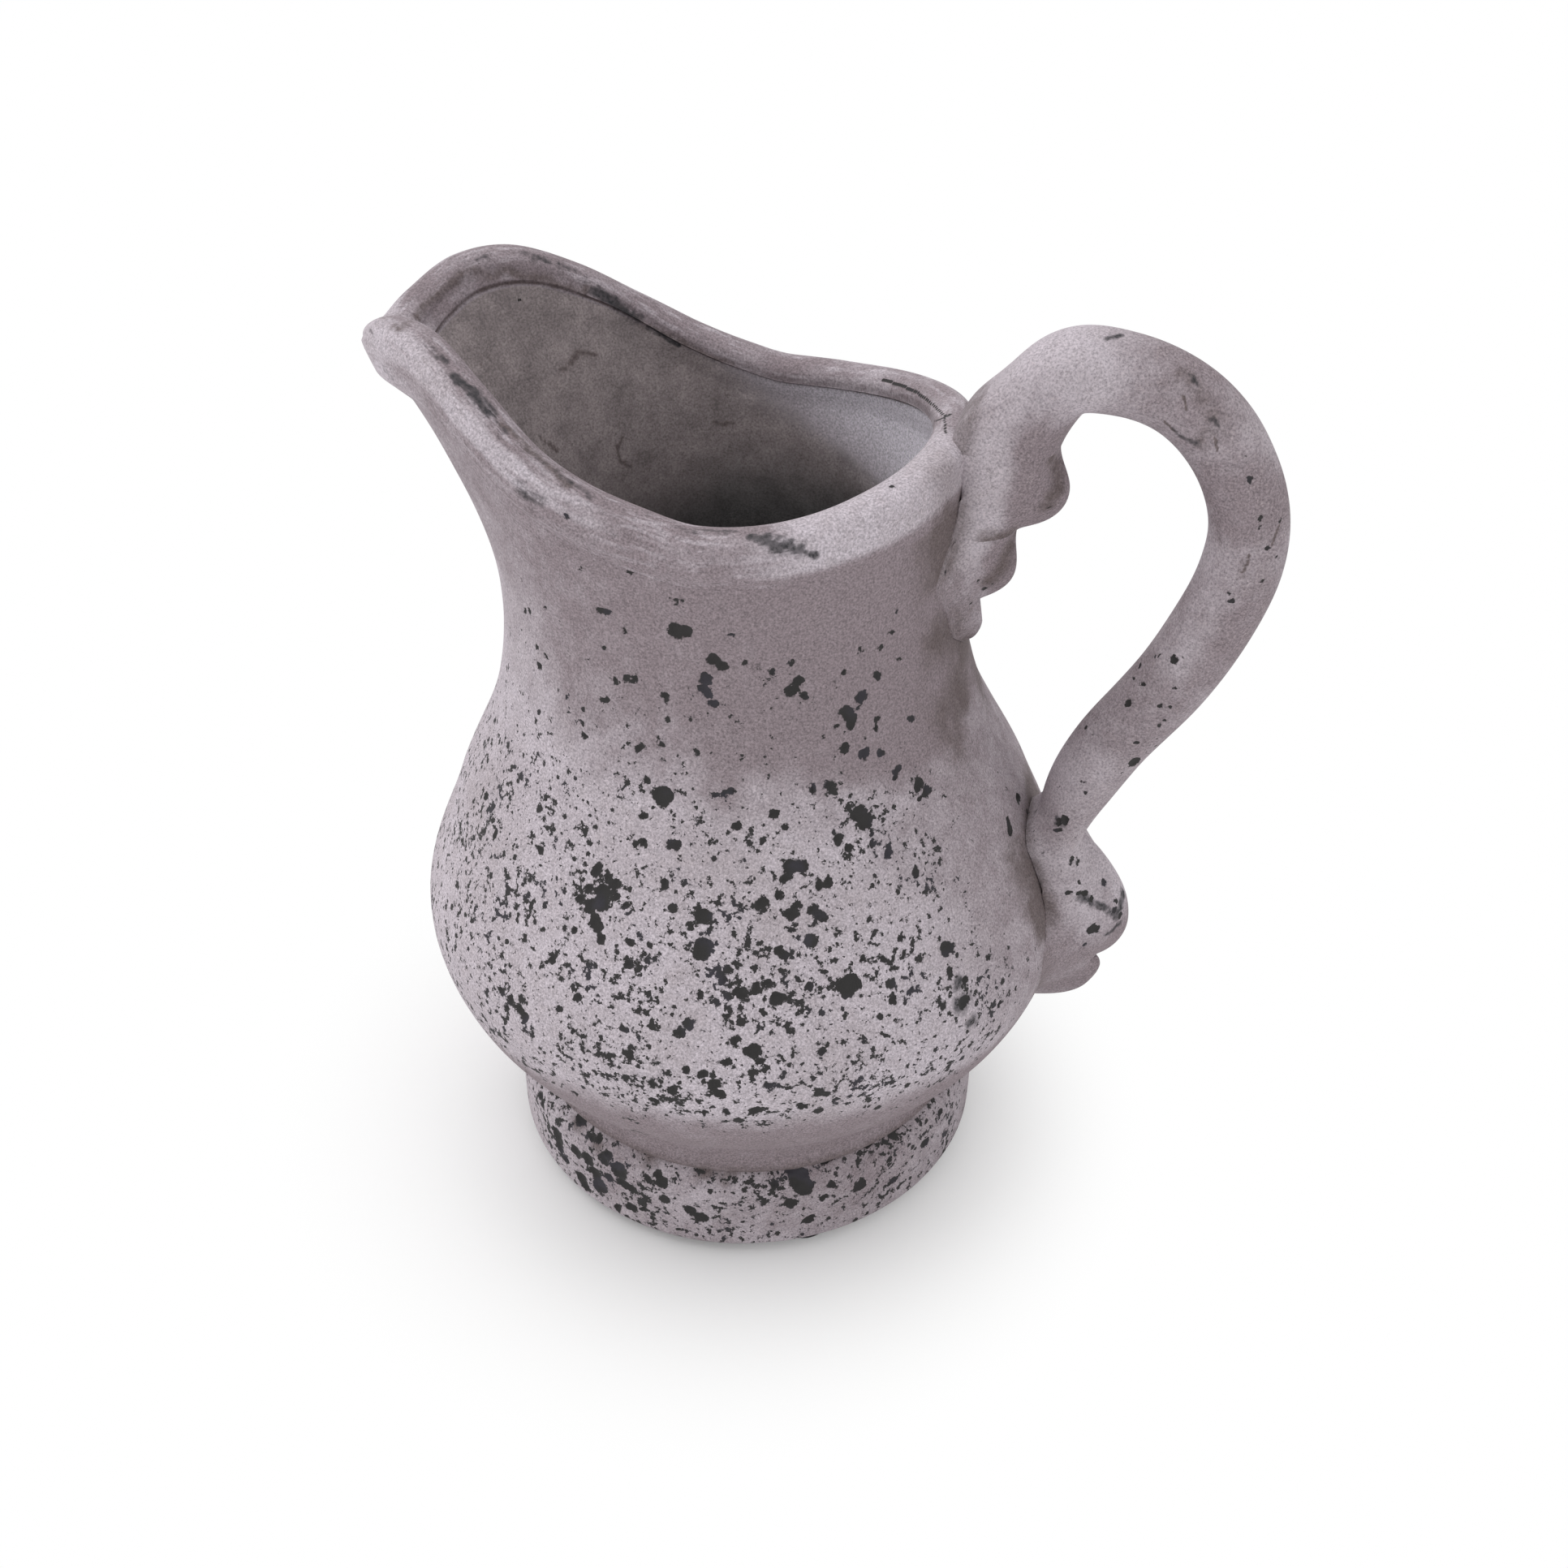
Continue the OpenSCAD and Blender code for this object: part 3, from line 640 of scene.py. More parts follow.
# Brown beside the grip, partly smudges and partly painted shade between the grip and the wall.
valley = np.maximum(eased(-beside, -30, -11) * eased(up, 96, 140),
                    eased(-beside, -24, -13) * eased(-up, -104, -92) * eased(up, 36, 60))
valley = grip_side * (0.65 + 0.6 * lumps(outer, 8, 48)) * valley
# Painted shade along the crease just above the foot.
crease_line = eased(-up, -29, -25)
wash_edge = 127 - 13 * np.sin(np.radians(turns + photo_turn))
wash_edge = wash_edge + 9 * lumps(outer, 22, 51) + 5 * lumps(outer, 7, 52)
rubbed = 0.22 * eased(up, 84, 116)
rubbed = rubbed + eased(up - wash_edge, -19, 21) * (0.50 + 0.28 * cosine(turns + 40))
# Painted shade on the belly's side near the grip, away from the lamp.
grip_side_shade = grip_side * 0.62 * eased(-beside, -58, -24) * eased(up, 44, 70)
cove_top = 44 + 12 * eased(cosine(turns + 60), -0.2, 0.8)
# Painted shade under the belly's overhang, dusky with a little brown.
cove_shade = 0.9 * eased(cove_top - up, -13, 2)
cove_shade_brown = 0.24 * eased(cove_top - up, -4, 8)
specked = 0.10 + 0.40 * eased(-up, -158, -134) + 0.50 * eased(-up, -136, -112)
specked = specked * (1 - 0.85 * eased(cove_top - up, -8, 3))
specked = specked * (1 - 0.6 * grip_side * eased(-beside, -40, -20)) + 0.2 * lumps(outer, 16, 32)
inner_smears_px = [(600, 436, 5), (582, 438, 5)] + strokes(
    (6, (690, 455), (702, 450), (713, 437), (735, 439)),
    (4.6, (766, 540), (760, 553), (764, 568), (778, 576)),
    (4, (688, 556), (668, 540)), (4, (880, 520), (905, 524)))
inner_smear = softly_seen(inner, inner_smears_px, ragged=False)
inner = worn(inner, [])[0]
body_parts = (under_rows, outer, inner, floor_rows)


def lit_at(turns, z):
    """How much light is painted on the inside, most under the rim beside the handle."""
    return eased(cosine(turns - 58), 0.55, 0.95) * eased(z + 0.35 * (60 - turns), 147, 170)


def over_body(*shares):
    """A fact of the body from those of its underside, its outside, its inside and its floor."""
    return np.concatenate([np.broadcast_to(share, part.shape[:2])
                           for share, part in zip(shares, body_parts)])


# Inside, the dusky tone is painted shade, lifted where light is painted beside the handle.
lit_side = lit_at(turns, inner[..., 2])
# The inside's painted shade deepens downwards, and sooner on the lip's side.
deep_z = inner[..., 2] + 8 * eased(-cosine(turns), 0.25, 0.65)
body = lofted("belly_and_neck", np.concatenate(body_parts), stoneware, facts={
    "chip": over_body(-3, chip, -3, -3),
    "dense": over_body(0.3, specked, 0.16, 0.16),
    "dusk": over_body(0, np.maximum.reduce([rubbed, grip_side_shade, cove_shade]), 0.5 - 0.55 * lit_side, 0.5),
    "smudge": over_body(0.2, np.maximum.reduce([0.7 * crease_line, 1.2 * valley, cove_shade_brown]),
                        0.8 * inner_smear, 0),
    "scuff": over_body(0, body_scuff, 0, 0),
    "wiped": over_body(0, 0, lit_side, 0),
    "inside": over_body(-1, -1, 0.28 + 0.72 * eased(-deep_z, -162, -134) - lit_side, 1)})
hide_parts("body")


# Rim band
# The rim is a thick coil of stoneware laid on the neck and drawn out into the pouring lip. It is
# rolled outwards and smoothed with the fingers, and a fine seam is left inside where it was laid.
rim_roll, nose_roll, rim_ledge = 2.8, 1.2, 0.9
rim_around = 1024
rim_turns = np.linspace(0, 360, rim_around, endpoint=False)
outer_side = np.linspace(0, 1, 18)
to_nose = -cosine(rim_turns)
roll = rim_roll * (1 + to_nose) / 2 + nose_roll * eased(to_nose, 0.8, 1)
roll = (eased(outer_side, 0, 0.5) * np.sqrt(1 - outer_side))[:, None] * roll
dome = np.radians(np.linspace(0, 180, 46))[1:-1]
top = crest(rim_turns)
out = np.concatenate([outward(rim_turns), np.zeros((rim_around, 1))], -1)
dome_rows = top + out * (rim_t / 2 * np.cos(dome))[:, None, None] \
    + np.array([0, 0, 1]) * (rim_dome * np.sin(dome))[:, None, None]
inner_side = np.linspace(0, 1, 30) ** 1.3
inner_offset = -rim_t / 2 + rim_ledge * eased(inner_side, 0.16, 0.24) \
    + (rim_t - wall_t - rim_ledge) * eased(inner_side, 0.24, 1)
rim_rows = np.concatenate([
    wall_at(rim_turns, band_share + (1 - band_share) * outer_side, rim_t / 2 + roll), dome_rows,
    wall_at(rim_turns, 1 - (1 - band_share) * inner_side, inner_offset)])
rim_gaps = np.linalg.norm(np.diff(rim_rows, axis=0), axis=-1).mean(-1)
rim_run = np.concatenate([[0], np.cumsum(rim_gaps)])
rim_chips_px = [(640, 372, 3), (1100, 600, 3), (1090, 640, 3), (700, 640, 3), (610, 600, 3),
                (1076, 532, 3)]
rim_cracks_px = strokes((4.2, (1088, 467), (1108, 474), (1126, 481), (1146, 496), (1163, 510)),
                        (3.4, (1163, 512), (1165, 531)), (3.2, (1150, 518), (1172, 508)))
rim_scuffs_px = strokes((11, (560, 463), (574, 477)), (18, (582, 484), (602, 508)),
                        (17, (945, 666), (985, 677)), (9, (925, 660), (1004, 683)),
                        (12, (735, 358), (784, 394)), (7, (800, 404), (835, 424)))
rim_rubs_px = strokes((12, (522, 421), (550, 447)), (10, (606, 513), (616, 532)),
                      (14, (640, 605), (670, 619)), (13, (836, 650), (905, 656)),
                      (12, (643, 310), (672, 318)), (9, (585, 322), (602, 317)),
                      (12, (690, 326), (725, 345)), (10, (466, 455), (484, 466)),
                      (8, (454, 408), (460, 420)), (12, (690, 580), (725, 612)),
                      (10, (640, 545), (668, 570)))
rim_smears_px = strokes((13, (484, 402), (492, 404), (514, 387), (535, 366), (570, 342), (610, 335),
                         (660, 340), (720, 360)),
                        (9, (760, 380), (830, 418), (900, 450)),
                        (12, (615, 520), (650, 552), (700, 596)))
rim_crack = softly_seen(rim_rows, rim_cracks_px, ragged=False)
rim_scuff = softly_seen(rim_rows, rim_scuffs_px, ragged=False)
rim_rub = softly_seen(rim_rows, rim_rubs_px)
rim_smear = softly_seen(rim_rows, rim_smears_px)
rim_rows, rim_chip = worn(rim_rows, marks_seen(rim_rows, rim_chips_px), depth=0.4)
rim_rows[..., 0] = np.maximum(rim_rows[..., 0], -lip_reach - rim_t / 2 + 0.15)
brush_r = 12
brush = np.stack(np.broadcast_arrays(
    brush_r * cosine(rim_turns), brush_r * np.sin(np.radians(rim_turns)), rim_run[:, None]), -1)


def over_rim(*shares):
    """A fact of the rim from those of its outer side, its dome and its inner side, row by row."""
    return np.concatenate([share + 0 * part for share, part
                           in zip(shares, (outer_side, dome, inner_side))])[:, None]


crown = over_rim(0, np.sin(dome), 0)
ridge = over_rim(eased(outer_side, 0.75, 1), eased(np.cos(dome), 0.4, 0.8), 0)
rim_inner = over_rim(0, eased(-np.cos(dome), -0.75, -0.1), 1)
rim_low = over_rim(eased(1 - outer_side, 0.3, 0.9), 0, 0)
seam = over_rim(0, 0, np.exp(-((inner_side - 0.21) / 0.035) ** 2)) * (0.75 + 0.6 * lumps(rim_rows, 9, 43))
below = over_rim(0, 0, eased(inner_side, 0.19, 0.28))
smooth_part = eased(cosine(rim_turns + 38), 0.80, 0.93)
from_grip = np.where(rim_turns > 180, rim_turns - 360, rim_turns)
rim_tone = smooth_line([(-180, 0.2), (-160, 0.2), (-145, 0.6), (-115, 0.8), (-95, 0.8), (-78, 0.85),
                        (-66, 0.4), (-58, 0), (-15, 0), (0, 0.3), (20, 0.45), (60, 0.5), (100, 0.72),
                        (140, 0.65), (165, 0.6), (180, 0.2)])(from_grip)
# A painted highlight along the crest of the near rim.
ridge_highlight = ridge * (0.2 + 0.8 * eased(cosine(rim_turns + 145), 0.70, 0.92))
neck_tone = 0.72 + 0.28 * cosine(rim_turns + 40)
# The inner slope of the rim's top takes its own darker tone and painted shade.
rim_dusk_light_and_shade = np.maximum(rim_tone * (1 - 0.8 * ridge_highlight),
                      (0.35 + 0.75 * rim_tone) * rim_inner * (1 - smooth_part))
rim_dusk_light_and_shade = rim_dusk_light_and_shade + 0.25 * lumps(rim_rows, 9, 44) * (1 - smooth_part)
rim_dusk_light_and_shade = np.maximum(rim_dusk_light_and_shade, neck_tone * rim_low)
lit_side = lit_at(rim_turns, rim_rows[..., 2])
# Inside under the ledge, the painted shade and painted light of the inside wall.
rim_dusk_light_and_shade = rim_dusk_light_and_shade * (1 - below) + (0.5 - 0.55 * lit_side) * below
# Brown beside the grip, partly smudges and partly painted shade.
rim_valley = (rim_rows[..., 0] > 0) * eased(-np.abs(rim_rows[..., 1]), -25, -14) * (1 - rim_inner) \
    * (0.7 + 0.7 * lumps(rim_rows, 8, 48))
rim = lofted("rim_and_lip", rim_rows, stoneware, joined=True, facts={
    "chip": rim_chip,
    "dense": np.full(rim_rows.shape[:2], 0.10),
    "dusk": np.clip(rim_dusk_light_and_shade, 0, 1),
    "brush": brush,
    "brushed": (0.55 + 0.45 * crown) * (1 - 0.9 * smooth_part) * (1 - below),
    "scuff": np.maximum(rim_scuff, 0.5 * rim_rub),
    "smudge": np.maximum.reduce([seam, 0.9 * rim_smear, 0.75 * rim_valley, rim_crack]),
    "crack": rim_crack,
    "wiped": below * lit_side,
    "inside": -1 + below * (1.28 - lit_side)})
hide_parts("rim_band")


# Handle
# A round pulled strap of stoneware, thickest at the outer bend. Its two ends are flattened
# against the wall while wet and run straight on into the large scrolls below them.
handle_d, grip_gap, slip_gap = 15.4, 51.5, 0.05
upper_land_z, lower_land_z, apex_z = 180, 92, 195
upper_landing, lower_landing = (15.8, 9.5), (10.2, 9.5)
loop_shares = [(0.275, 0.985, 1.04), (0.48, 1, 0.99), (0.70, 0.965, 0.97), (0.88, 0.88, 0.97),
               (0.985, 0.766, 0.98), (1, 0.648, 1), (0.925, 0.518, 1.02), (0.775, 0.392, 1),
               (0.515, 0.249, 0.98), (0.285, 0.131, 0.97), (0.16, 0.056, 0.98)]
loop = [(wall_r(upper_land_z) + slip_gap + upper_landing[0] / 2, upper_land_z, handle_d / 2)]
for gap, rise, thick in loop_shares:
    z = lower_land_z + rise * (apex_z - lower_land_z)
    loop.append((wall_r(z) + grip_gap * gap, z, handle_d / 2 * thick))
loop.append((wall_r(lower_land_z) + slip_gap + lower_landing[0] / 2, lower_land_z, handle_d / 2))
loop = np.array([(loop[1][0], 2 * loop[0][1] - loop[1][1], loop[0][2]), *loop,
                 (loop[-2][0], 2 * loop[-1][1] - loop[-2][1], loop[-1][2])], float)


def loop_at(x):
    i = np.clip(np.floor(x).astype(int), 0, len(loop) - 4)
    return rounded(*(loop[i + k] for k in range(4)), (x - i)[:, None])


edge_sink, root_sink, grip_fillet, grip_mid_z = 0.4, 5, 7, 120


def on_wall(points):
    """Points that would be deep inside the wall below the rim, set back under its skin."""
    r = np.hypot(points[..., 0], points[..., 1])
    least = wall_r(points[..., 2]) + slip_gap - edge_sink
    share = np.where((r < least) & (points[..., 2] < neck_z), least / r, 1)
    return points * np.stack([share, share, np.ones_like(share)], -1)


def skirted(angle, out, half_w, fillet):
    """A half-round section with a hollow fillet at each foot: its stand-out and its place across."""
    stand = out * np.maximum(0, np.sin(angle))
    low = np.minimum(stand, fillet)
    flare = fillet - np.sqrt(np.maximum(fillet ** 2 - (fillet - low) ** 2, 0))
    flare = flare * np.clip(1 + np.sin(angle), 0, 1) ** 2
    return stand, half_w * widened(angle, 1) + flare * np.sign(np.cos(angle))


def fillet_at(z):
    """The hollow fillet beside the scrolls, which runs out where the loop leaves the wall."""
    return grip_fillet * (1 - np.where(z > grip_mid_z, eased(z, 154, 170), eased(z, 68, 82)))


def sunk(angle):
    """How far the edges of a section go under the skin of the wall."""
    return edge_sink * np.clip(1 - np.sin(angle), 0, 1) ** 2


def outfaced(rows):
    """Rows whose points run round so that they face outwards."""
    stands = np.sum(facing(rows) * (rows - rows.mean(1, keepdims=True)), -1).mean()
    return rows if stands > 0 else rows[:, ::-1]


def widened(angle, share):
    """Places across a round section, whose half on the wall is given a share of squareness."""
    cos = np.cos(angle)
    return np.where(np.sin(angle) < 0, np.sign(cos) * np.abs(cos) ** (1 - 0.75 * share), cos)


loop_sides, loop_steps, smooth_passes, whole_passes = 144, 520, 240, 80
knot_rows, flare_rows, root_rows, upper_sink_rows, lower_sink_rows = 4, 11, 5, 2.6, 5
angle = np.linspace(0, 2 * np.pi, loop_sides, endpoint=False)
last = (len(loop) - 3) * knot_rows
row = np.linspace(0, last, loop_steps)
middle = loop_at(row / knot_rows)
ahead = loop_at(row / knot_rows + 0.05) - loop_at(row / knot_rows - 0.05)
ahead /= np.hypot(ahead[:, 0], ahead[:, 1])[:, None]
row, middle, ahead = row[:, None], middle[:, None], ahead[:, None]
falling = row > last / 2
turned = np.where(falling, -angle, angle)
from_end = np.where(falling, last - row, row)
stand_out, half_w = (np.where(falling, lower, upper)
                     for lower, upper in zip(lower_landing, upper_landing))
flare = eased(from_end, 0, flare_rows)
sink = root_sink * (1 - eased(from_end, 0, np.where(falling, lower_sink_rows, upper_sink_rows)))
half_t = stand_out / 2 * (1 - flare) + middle[..., 2] * flare
half_w = half_w * (1 - flare) + middle[..., 2] * flare
reach = (half_t + sink * (np.sin(turned) < 0)) * np.sin(turned)
reach = np.where(falling, -reach, reach)
across = half_w * widened(turned, 1 - eased(from_end, 0, root_rows))
handle_rows = np.stack([middle[..., 0] + reach * ahead[..., 1], across,
                        middle[..., 1] - reach * ahead[..., 0]], -1)
tight_bend = np.maximum(0, np.sin(turned)) * (1 - eased(from_end, 5, 12)) * (1 - falling)
for smoothing in range(smooth_passes):
    pull = (handle_rows[:-2] - 2 * handle_rows[1:-1] + handle_rows[2:]) / 4
    handle_rows[1:-1] += pull if smoothing < whole_passes else pull * tight_bend[1:-1, :, None]
handle_rows = on_wall(handle_rows)
handle_rows = outfaced(handle_rows)
handle_chips_px = [
    (1540, 593, 4), (1537, 565, 2), (1545, 571, 2), (1568, 619, 2), (1568, 632, 2), (1577, 639, 2),
    (1555, 643, 2), (1556, 652, 2), (1566, 675, 4), (1575, 686, 3), (1559, 715, 2), (1511, 732, 3),
    (1518, 740, 3), (1486, 758, 1.5), (1444, 812, 6), (1456, 810, 3), (1425, 810, 3), (1405, 819, 4),
    (1430, 828, 2), (1396, 834, 3), (1409, 843, 4), (1446, 848, 3), (1391, 866, 5), (1429, 871, 5),
    (1442, 871, 4), (1363, 879, 2), (1434, 889, 2), (1425, 897, 2), (1428, 909, 2), (1421, 921, 2),
    (1413, 927, 2), (1401, 918, 4), (1398, 939, 7), (1384, 954, 2), (1335, 899, 2), (1335, 967, 4),
    (1337, 979, 3), (1299, 1011, 5), (1310, 1011, 7), (1303, 1021, 5)]
handle_scratches_px = strokes(
    (3.2, (1459, 488), (1462, 506)), (3, (1434, 521), (1446, 532)), (3.2, (1497, 540), (1500, 556)),
    (3, (1577, 649), (1568, 673)), (3.4, (1538, 684), (1537, 695), (1531, 706)))
handle_scuffs_px = strokes((7, (1360, 414), (1381, 411)), (8, (1444, 530), (1474, 549)),
                           (7, (1496, 516), (1503, 526)), (6, (1466, 466), (1474, 474)),
                           (9, (1297, 1009), (1310, 1016)))
handle_smears_px = strokes((24, (1455, 462), (1480, 480), (1505, 525), (1478, 548)),
                           (14, (1530, 690), (1533, 708)), (12, (1496, 640), (1500, 665)))
handle_scuff = softly_seen(handle_rows, handle_scuffs_px)
handle_scratch = softly_seen(handle_rows, handle_scratches_px, ragged=False)
handle_smear = softly_seen(handle_rows, handle_smears_px)
handle_rows, handle_chip = worn(handle_rows, marks_seen(handle_rows, handle_chips_px), depth=0.35)
from_wall = np.hypot(handle_rows[..., 0], handle_rows[..., 1]) - wall_r(handle_rows[..., 2])
near_wall = (handle_rows[..., 2] < 190) * (handle_rows[..., 0] < 85)


def grip_dusk_and_shade(rows):
    """How dusky the grip's ends are: pale beside the wall, and dusky where they stand out, which is
    painted shade.
    """
    stands = rows[..., 0] - wall_r(rows[..., 2]) + 3.5 * eased(-rows[..., 2], -167, -158)
    upper = 0.12 + 0.95 * eased(stands, 4, 11) * (1 - eased(rows[..., 2], 182, 195))
    upper = np.maximum(upper, 0.78 * eased(-rows[..., 2], -166, -152))
    lower = 0.26 + 0.62 * eased(-rows[..., 2], -88, -64) + 0.1 * eased(stands, 8, 16)
    return np.where(rows[..., 2] > grip_mid_z, upper, lower) + 0.3 * lumps(rows, 11, 45)


along = row / last
loop_dusk_and_highlight = smooth_line([(0, 0.10), (0.10, 0.18), (0.18, 0.52), (0.24, 0.60), (0.34, 0.70), (0.40, 0.62),
                         (0.46, 0.66), (0.53, 0.90), (0.62, 0.66), (0.72, 0.58), (1, 0.52)])(along)
loop_dusk_and_highlight = loop_dusk_and_highlight + 0.3 * lumps(handle_rows, 11, 45)
# A painted highlight on the lower strand where it faces the lamp.
highlight_way = np.array([-0.5, -0.5, 0.7])
strand = eased(along, 0.42, 0.50) * (1 - eased(along, 0.60, 0.70))
loop_dusk_and_highlight = loop_dusk_and_highlight - 0.34 * strand * eased(facing(handle_rows) @ highlight_way, 0.25, 0.75)
out_on_loop = eased(from_end, 1, 7)
handle_dusk_light_and_shade = grip_dusk_and_shade(handle_rows) * (1 - out_on_loop) + loop_dusk_and_highlight * out_on_loop
handle = lofted("loop_handle", handle_rows, stoneware, facts={
    "chip": handle_chip,
    "dense": 0.14 + 0.16 * eased(along, 0.55, 0.75) + 0 * handle_chip,
    "dusk": handle_dusk_light_and_shade,
    "scuff": handle_scuff,
    # Painted shade where the handle runs close to the wall, with smears and scratches.
    "smudge": np.maximum.reduce([0.6 * eased(-from_wall, -4, 0.5) * near_wall, 0.6 * handle_smear,
                                 1.3 * handle_scratch])}, tucks=(True, True))
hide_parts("handle")


# Upper scrolls
# Three lobes of stoneware, each smaller than the one above, pressed to the neck under the handle.
# They are modelled from the end of the handle with a rounded stick and smoothed into the wall.
scroll_steps, scroll_sides, morph_h, joint_shade_brown = 90, 128, 10, 0.7
notch_share, lower_notch_share = 0.92, 0.68


def egg(angle, out):
    """The section of the loop's ends: how far it stands out from the wall."""
    return out / 2 + (out / 2 + root_sink * (np.sin(angle) < 0)) * np.sin(angle)


def scroll(name, node, top_z, height, ridge, flow, width, marks=(), scuffs=(), smears=(),
           closed=False, fullness=2.0, onset=0.5, under=0.5, from_loop=False):
    """A lobe between two notches or with a round end. Its ridge swells, and its flanks flow smoothly
    into the next lobe. The ridge is given as its stand-out at the top, in the middle and below.
    One that goes on from the loop takes the section of the loop's end at its top."""
    s = np.linspace(-1, 0.995 if closed else 1, scroll_steps)
    s = s if closed else np.sin(s * np.pi / 2)
    z = (top_z - height * (s + 1) / 2)[:, None]
    angle = np.linspace(0, 2 * np.pi, scroll_sides, endpoint=False)
    bell = np.exp(-(np.cos(angle) / 0.5) ** 2)
    round_end = np.maximum(0, 1 - np.abs(s) ** fullness)[:, None]
    s = s[:, None]
    swelling = np.where(s < 0, onset, under) * (1 + 6 * (1 - bell))
    rise = round_end ** np.where(closed & (s > 0), 0.5, swelling)
    ends = ridge[0] + (ridge[2] - ridge[0]) * (s + 1) / 2
    ends = np.where(s > 0, 0, ridge[0]) if closed else ends
    crown = ends + (ridge[1] - ends) * rise
    closing = np.where(closed & (s > 0), round_end ** 0.5, 1)
    flank, half_w = flow(z) * closing, width(z) * closing
    out = flank + (crown - flank) * bell
    stand, place_across = skirted(angle, out, half_w, np.minimum(fillet_at(z), 0.8 * flank + 0.05))
    r = wall_r(z) + slip_gap
    reach = np.sqrt(r * r - place_across ** 2) + stand - sunk(angle)
    if from_loop:
        near_loop = eased(z - top_z, -morph_h, 0)
        reach = reach + (r + egg(angle, out) - reach) * near_loop
        place_across = place_across + (half_w * widened(angle, 1) - place_across) * near_loop
    rows = on_wall(np.stack([reach, place_across, z + 0 * stand], -1))
    rows = outfaced(rows[::-1])
    scuff, smear = softly_seen(rows, scuffs), softly_seen(rows, smears)
    rows, chip = worn(rows, marks_seen(rows, marks), depth=0.35)
    stands = np.hypot(rows[..., 0], rows[..., 1]) - wall_r(rows[..., 2])
    # Brown where the lobe meets the wall, partly smudges and partly painted shade.
    joint_smudge_and_shade = joint_shade_brown * eased(-stands, -5, 0.2) * (0.65 + 0.6 * lumps(rows, 8, 48))
    piece = lofted(name, rows, stoneware, facts={
        "chip": chip,
        "dense": np.full(rows.shape[:2], 0.2),
        "dusk": grip_dusk_and_shade(rows),
        "scuff": scuff,
        "smudge": np.maximum(joint_smudge_and_shade, smear)}, tucks=(not closed, True))
    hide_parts(node)


upper_large, upper_middle, upper_small = 18.4, 10.6, 4.2
upper_large_h, upper_middle_h, upper_small_h = 17.5, 16.5, 10
upper_middle_z = upper_land_z - upper_large_h
upper_small_z = upper_middle_z - upper_middle_h
upper_flow = smooth_line([(136, 0.4), (141, 2.3), (146, 3.4), (154, 8.2), (162.5, 10.2), (171.5, 15.6),
                          (180, 15.8)], last=0)
upper_width = smooth_line([(136, 3.5), (141, 5.8), (146, 6.8), (154, 8.2), (162.5, 9.0), (171.5, 9.8),
                           (180, 9.5)], last=0)
large_marks_px = [(1277, 630, 3), (1291, 627, 3)]
middle_marks_px = [(1168, 706, 4), (1186, 708, 3), (1205, 718, 3), (1214, 726, 4), (1198, 742, 3),
                   (1224, 720, 2), (1206, 705, 2)]
upper_smears_px = strokes((22, (1300, 560), (1304, 600), (1290, 625)),
                          (26, (1246, 672), (1240, 696), (1222, 716)))
scroll("upper_lobe_large", "upper_scroll_large", upper_land_z, upper_large_h,
       (upper_landing[0], upper_large, notch_share * upper_middle), upper_flow, upper_width,
       marks=large_marks_px, smears=upper_smears_px, onset=1.2, under=0.62, from_loop=True)
scroll("upper_lobe_middle", "upper_scroll_middle", upper_middle_z, upper_middle_h,
       (notch_share * upper_middle, upper_middle, notch_share * upper_small), upper_flow, upper_width,
       marks=middle_marks_px, smears=upper_smears_px, onset=1.0, under=0.9)
scroll("upper_lobe_small", "upper_scroll_small", upper_small_z, upper_small_h,
       (notch_share * upper_small, upper_small, 0), upper_flow, upper_width, closed=True, fullness=1.3)


# Lower scrolls
# Two fuller lobes finish the handle's lower end on the belly, the large one running down from the
# handle and a small round one tucked under it. They are made and joined as the upper ones are.
lower_large, lower_small = 14.6, 12.6
lower_large_h, lower_small_h = 32.5, 15.5
lower_small_z = lower_land_z - lower_large_h
lower_flow = smooth_line([(44, 1), (52.75, 5.5), (59.5, 9.8), (67, 12), (75.75, 13.4), (84, 12.6),
                          (92, 10.2)], last=0)
lower_width = smooth_line([(44, 4), (52.75, 6), (59.5, 8.6), (67, 11.2), (75.75, 12), (84, 11),
                           (92, 9.5)], last=0)
lower_marks_px = [
    (1295, 1030, 3), (1310, 1044, 2), (1295, 1050, 2), (1304, 1059, 3), (1319, 1064, 4),
    (1328, 1060, 3), (1305, 1074, 3), (1363, 1086, 5), (1376, 1076, 3), (1331, 1088, 3),
    (1319, 1100, 4), (1338, 1104, 6), (1327, 1103, 3), (1348, 1111, 4), (1349, 1146, 6),
    (1343, 1147, 4), (1338, 1165, 3), (1377, 1109, 4), (1376, 1121, 5), (1381, 1128, 5)]
lower_scuffs_px = strokes((10, (1330, 1108), (1352, 1118), (1372, 1126)),
                          (10, (1376, 1130), (1384, 1112), (1386, 1096)),
                          (8, (1366, 1150), (1378, 1140)))
scroll("lower_lobe_large", "lower_scroll_large", lower_land_z, lower_large_h,
       (lower_landing[0], lower_large, lower_notch_share * lower_small), lower_flow, lower_width,
       marks=lower_marks_px, scuffs=lower_scuffs_px, fullness=2.2, onset=0.6, from_loop=True)
scroll("lower_lobe_small", "lower_scroll_small", lower_small_z, lower_small_h,
       (lower_notch_share * lower_small, lower_small, 0), lower_flow, lower_width,
       closed=True, fullness=3.0)


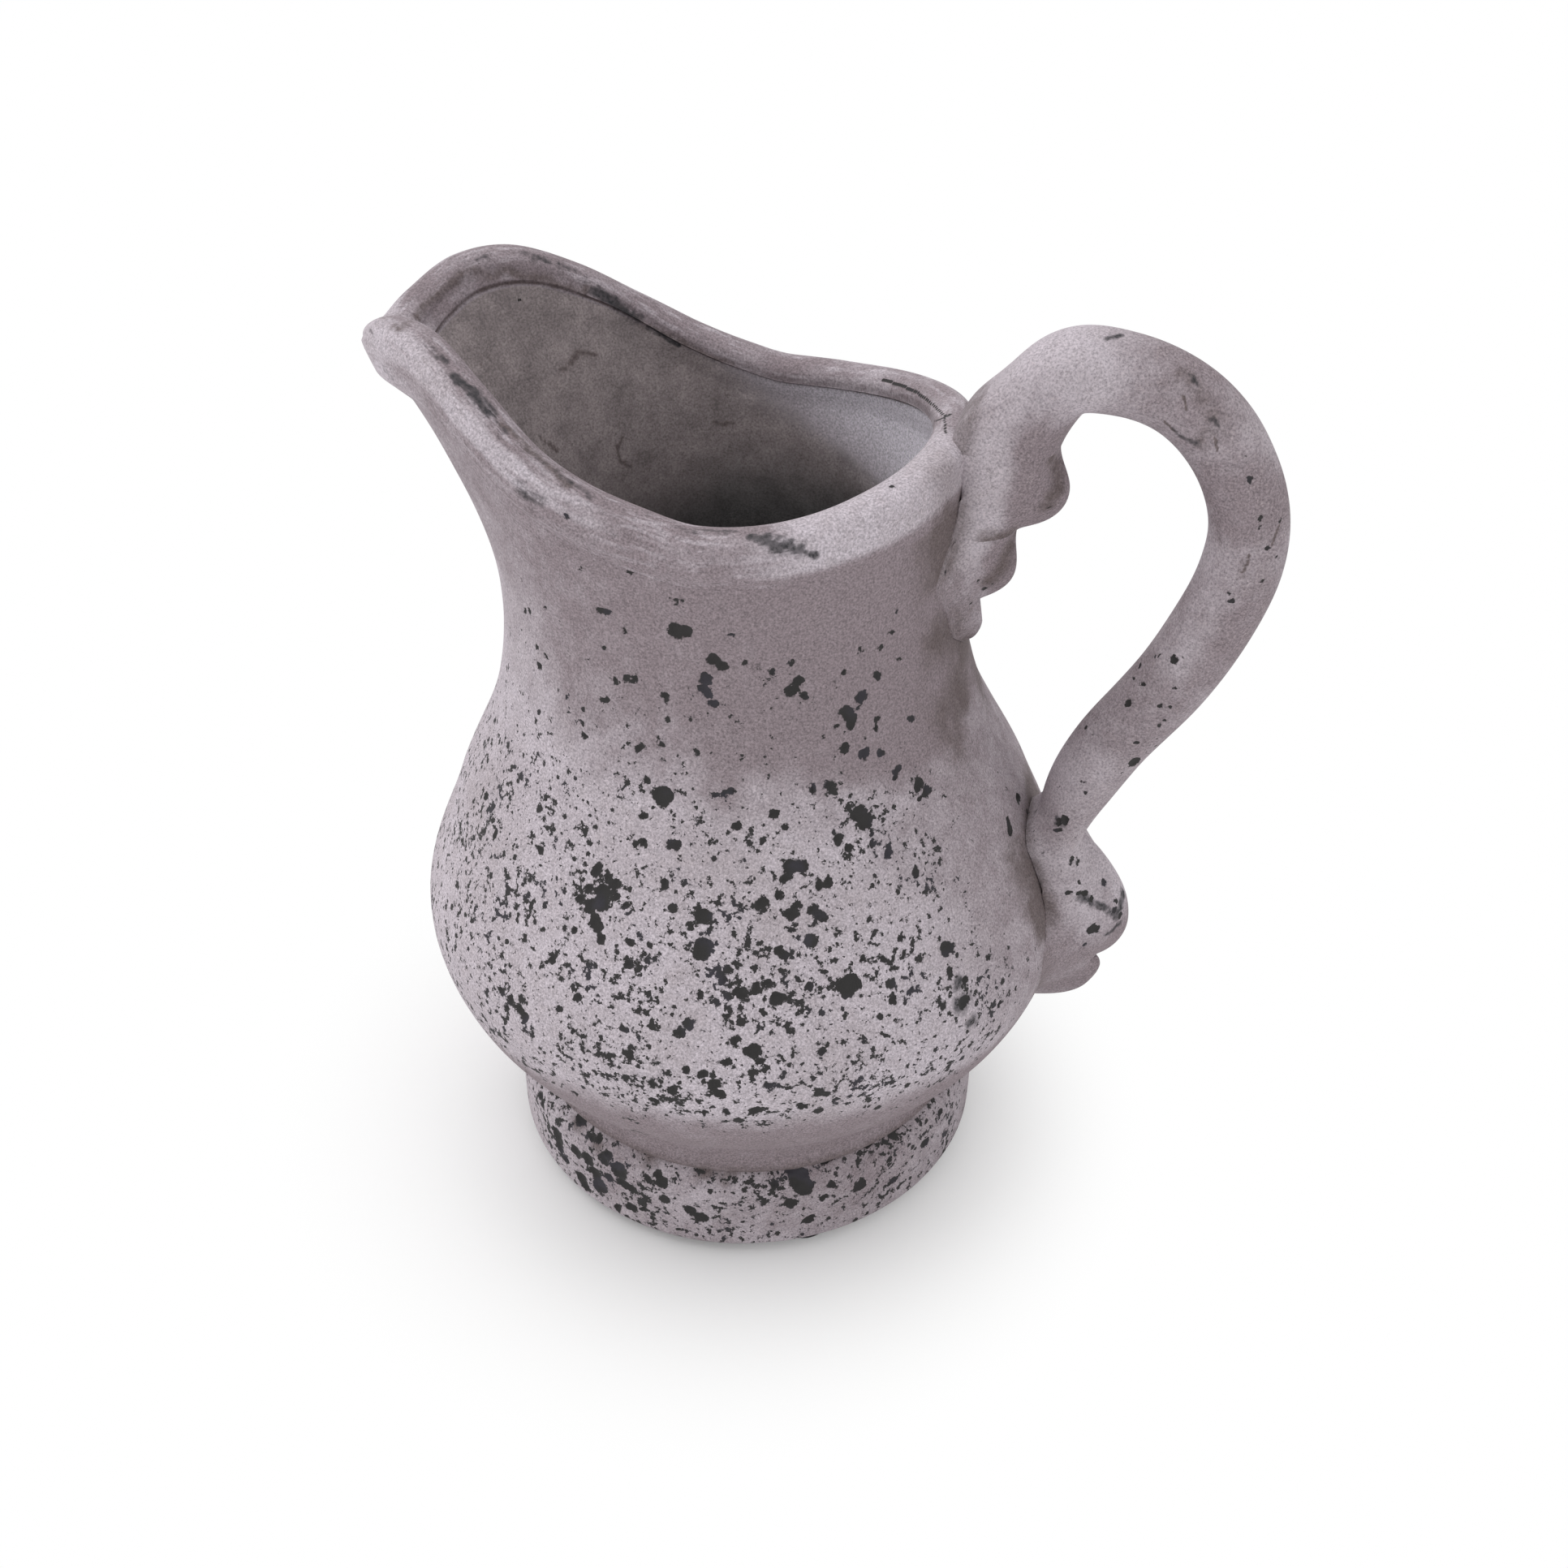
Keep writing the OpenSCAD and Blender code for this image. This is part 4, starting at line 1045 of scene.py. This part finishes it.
# Floor and light
# A plain white sweep carries the pitcher, and one broad soft lamp from the left and above gives
# it a faint shadow. Away from the pitcher the camera sees the sweep glow plain white, and that glow
# paints light over the shadow from 40 to 110 mm out, round a middle set 10 mm to the left, so
# the shadow is painted lighter on the right.
sweep = new_material("white_sweep")
path = Wire.node("ShaderNodeLightPath", None, None, "Is Camera Ray")
place = Wire.node("ShaderNodeTexCoord", None, None, "Object")
shadow_shift, shadow_near, shadow_far = (0.010, 0.002, 0), 0.04, 0.11
away = Wire.node("ShaderNodeVectorMath", {"operation": "LENGTH"}, {0: place.moved(shadow_shift)}, "Value")
away = away.step(shadow_near, shadow_far)
paper = cloudy(place, 0.002, 2)
white = Wire.node("ShaderNodeBsdfDiffuse", None, {
    "Color": (0.98, 0.98, 0.98, 1),
    "Normal": Wire.node("ShaderNodeBump", None, {"Height": paper, "Distance": 0.00002})})
glow = Wire.node("ShaderNodeEmission", None, {"Color": (1, 1, 1, 1), "Strength": 1})
surface(Wire.node("ShaderNodeMixShader", None, {0: away * path, 1: white, 2: glow}))
sweep_half = 4
sweep_corners = [(x * sweep_half, y * sweep_half, 0) for x, y in ((-1, -1), (1, -1), (1, 1), (-1, 1))]
sweep_mesh = bpy.data.meshes.new("sweep")
sweep_mesh.from_pydata(sweep_corners, [], [(0, 1, 2, 3)])
sweep_mesh.materials.append(sweep)
floor = bpy.data.objects.new("sweep", sweep_mesh)
bpy.context.scene.collection.objects.link(floor)
floor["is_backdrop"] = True

ambient = 0.72
world = bpy.data.worlds.new("studio")
bpy.context.scene.world = world
world.use_nodes = True
world.node_tree.nodes.clear()
Wire.tree = world.node_tree
seen = [Wire.node("ShaderNodeLightPath", None, None, ray)
        for ray in ("Is Camera Ray", "Is Glossy Ray", "Is Transmission Ray")]
sky = Wire.node("ShaderNodeBackground", None, {
    "Color": (1, 1, 1, 1), "Strength": ambient + (1 - ambient) * seen[0].over(seen[1]).over(seen[2])})
Wire.node("ShaderNodeOutputWorld", None, {"Surface": sky})

lamp_power, lamp_spread, lamp_way = 1.1, 70, Vector((-0.52, 0.12, 0.85))
lamp_data = bpy.data.lights.new("broad_lamp", "SUN")
lamp_data.energy = lamp_power
lamp_data.angle = math.radians(lamp_spread)
lamp = bpy.data.objects.new("broad_lamp", lamp_data)
lamp.rotation_euler = lamp_way.to_track_quat("Z", "Y").to_euler()
bpy.context.scene.collection.objects.link(lamp)
bpy.context.scene.view_settings.view_transform = "Standard"

low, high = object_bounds()
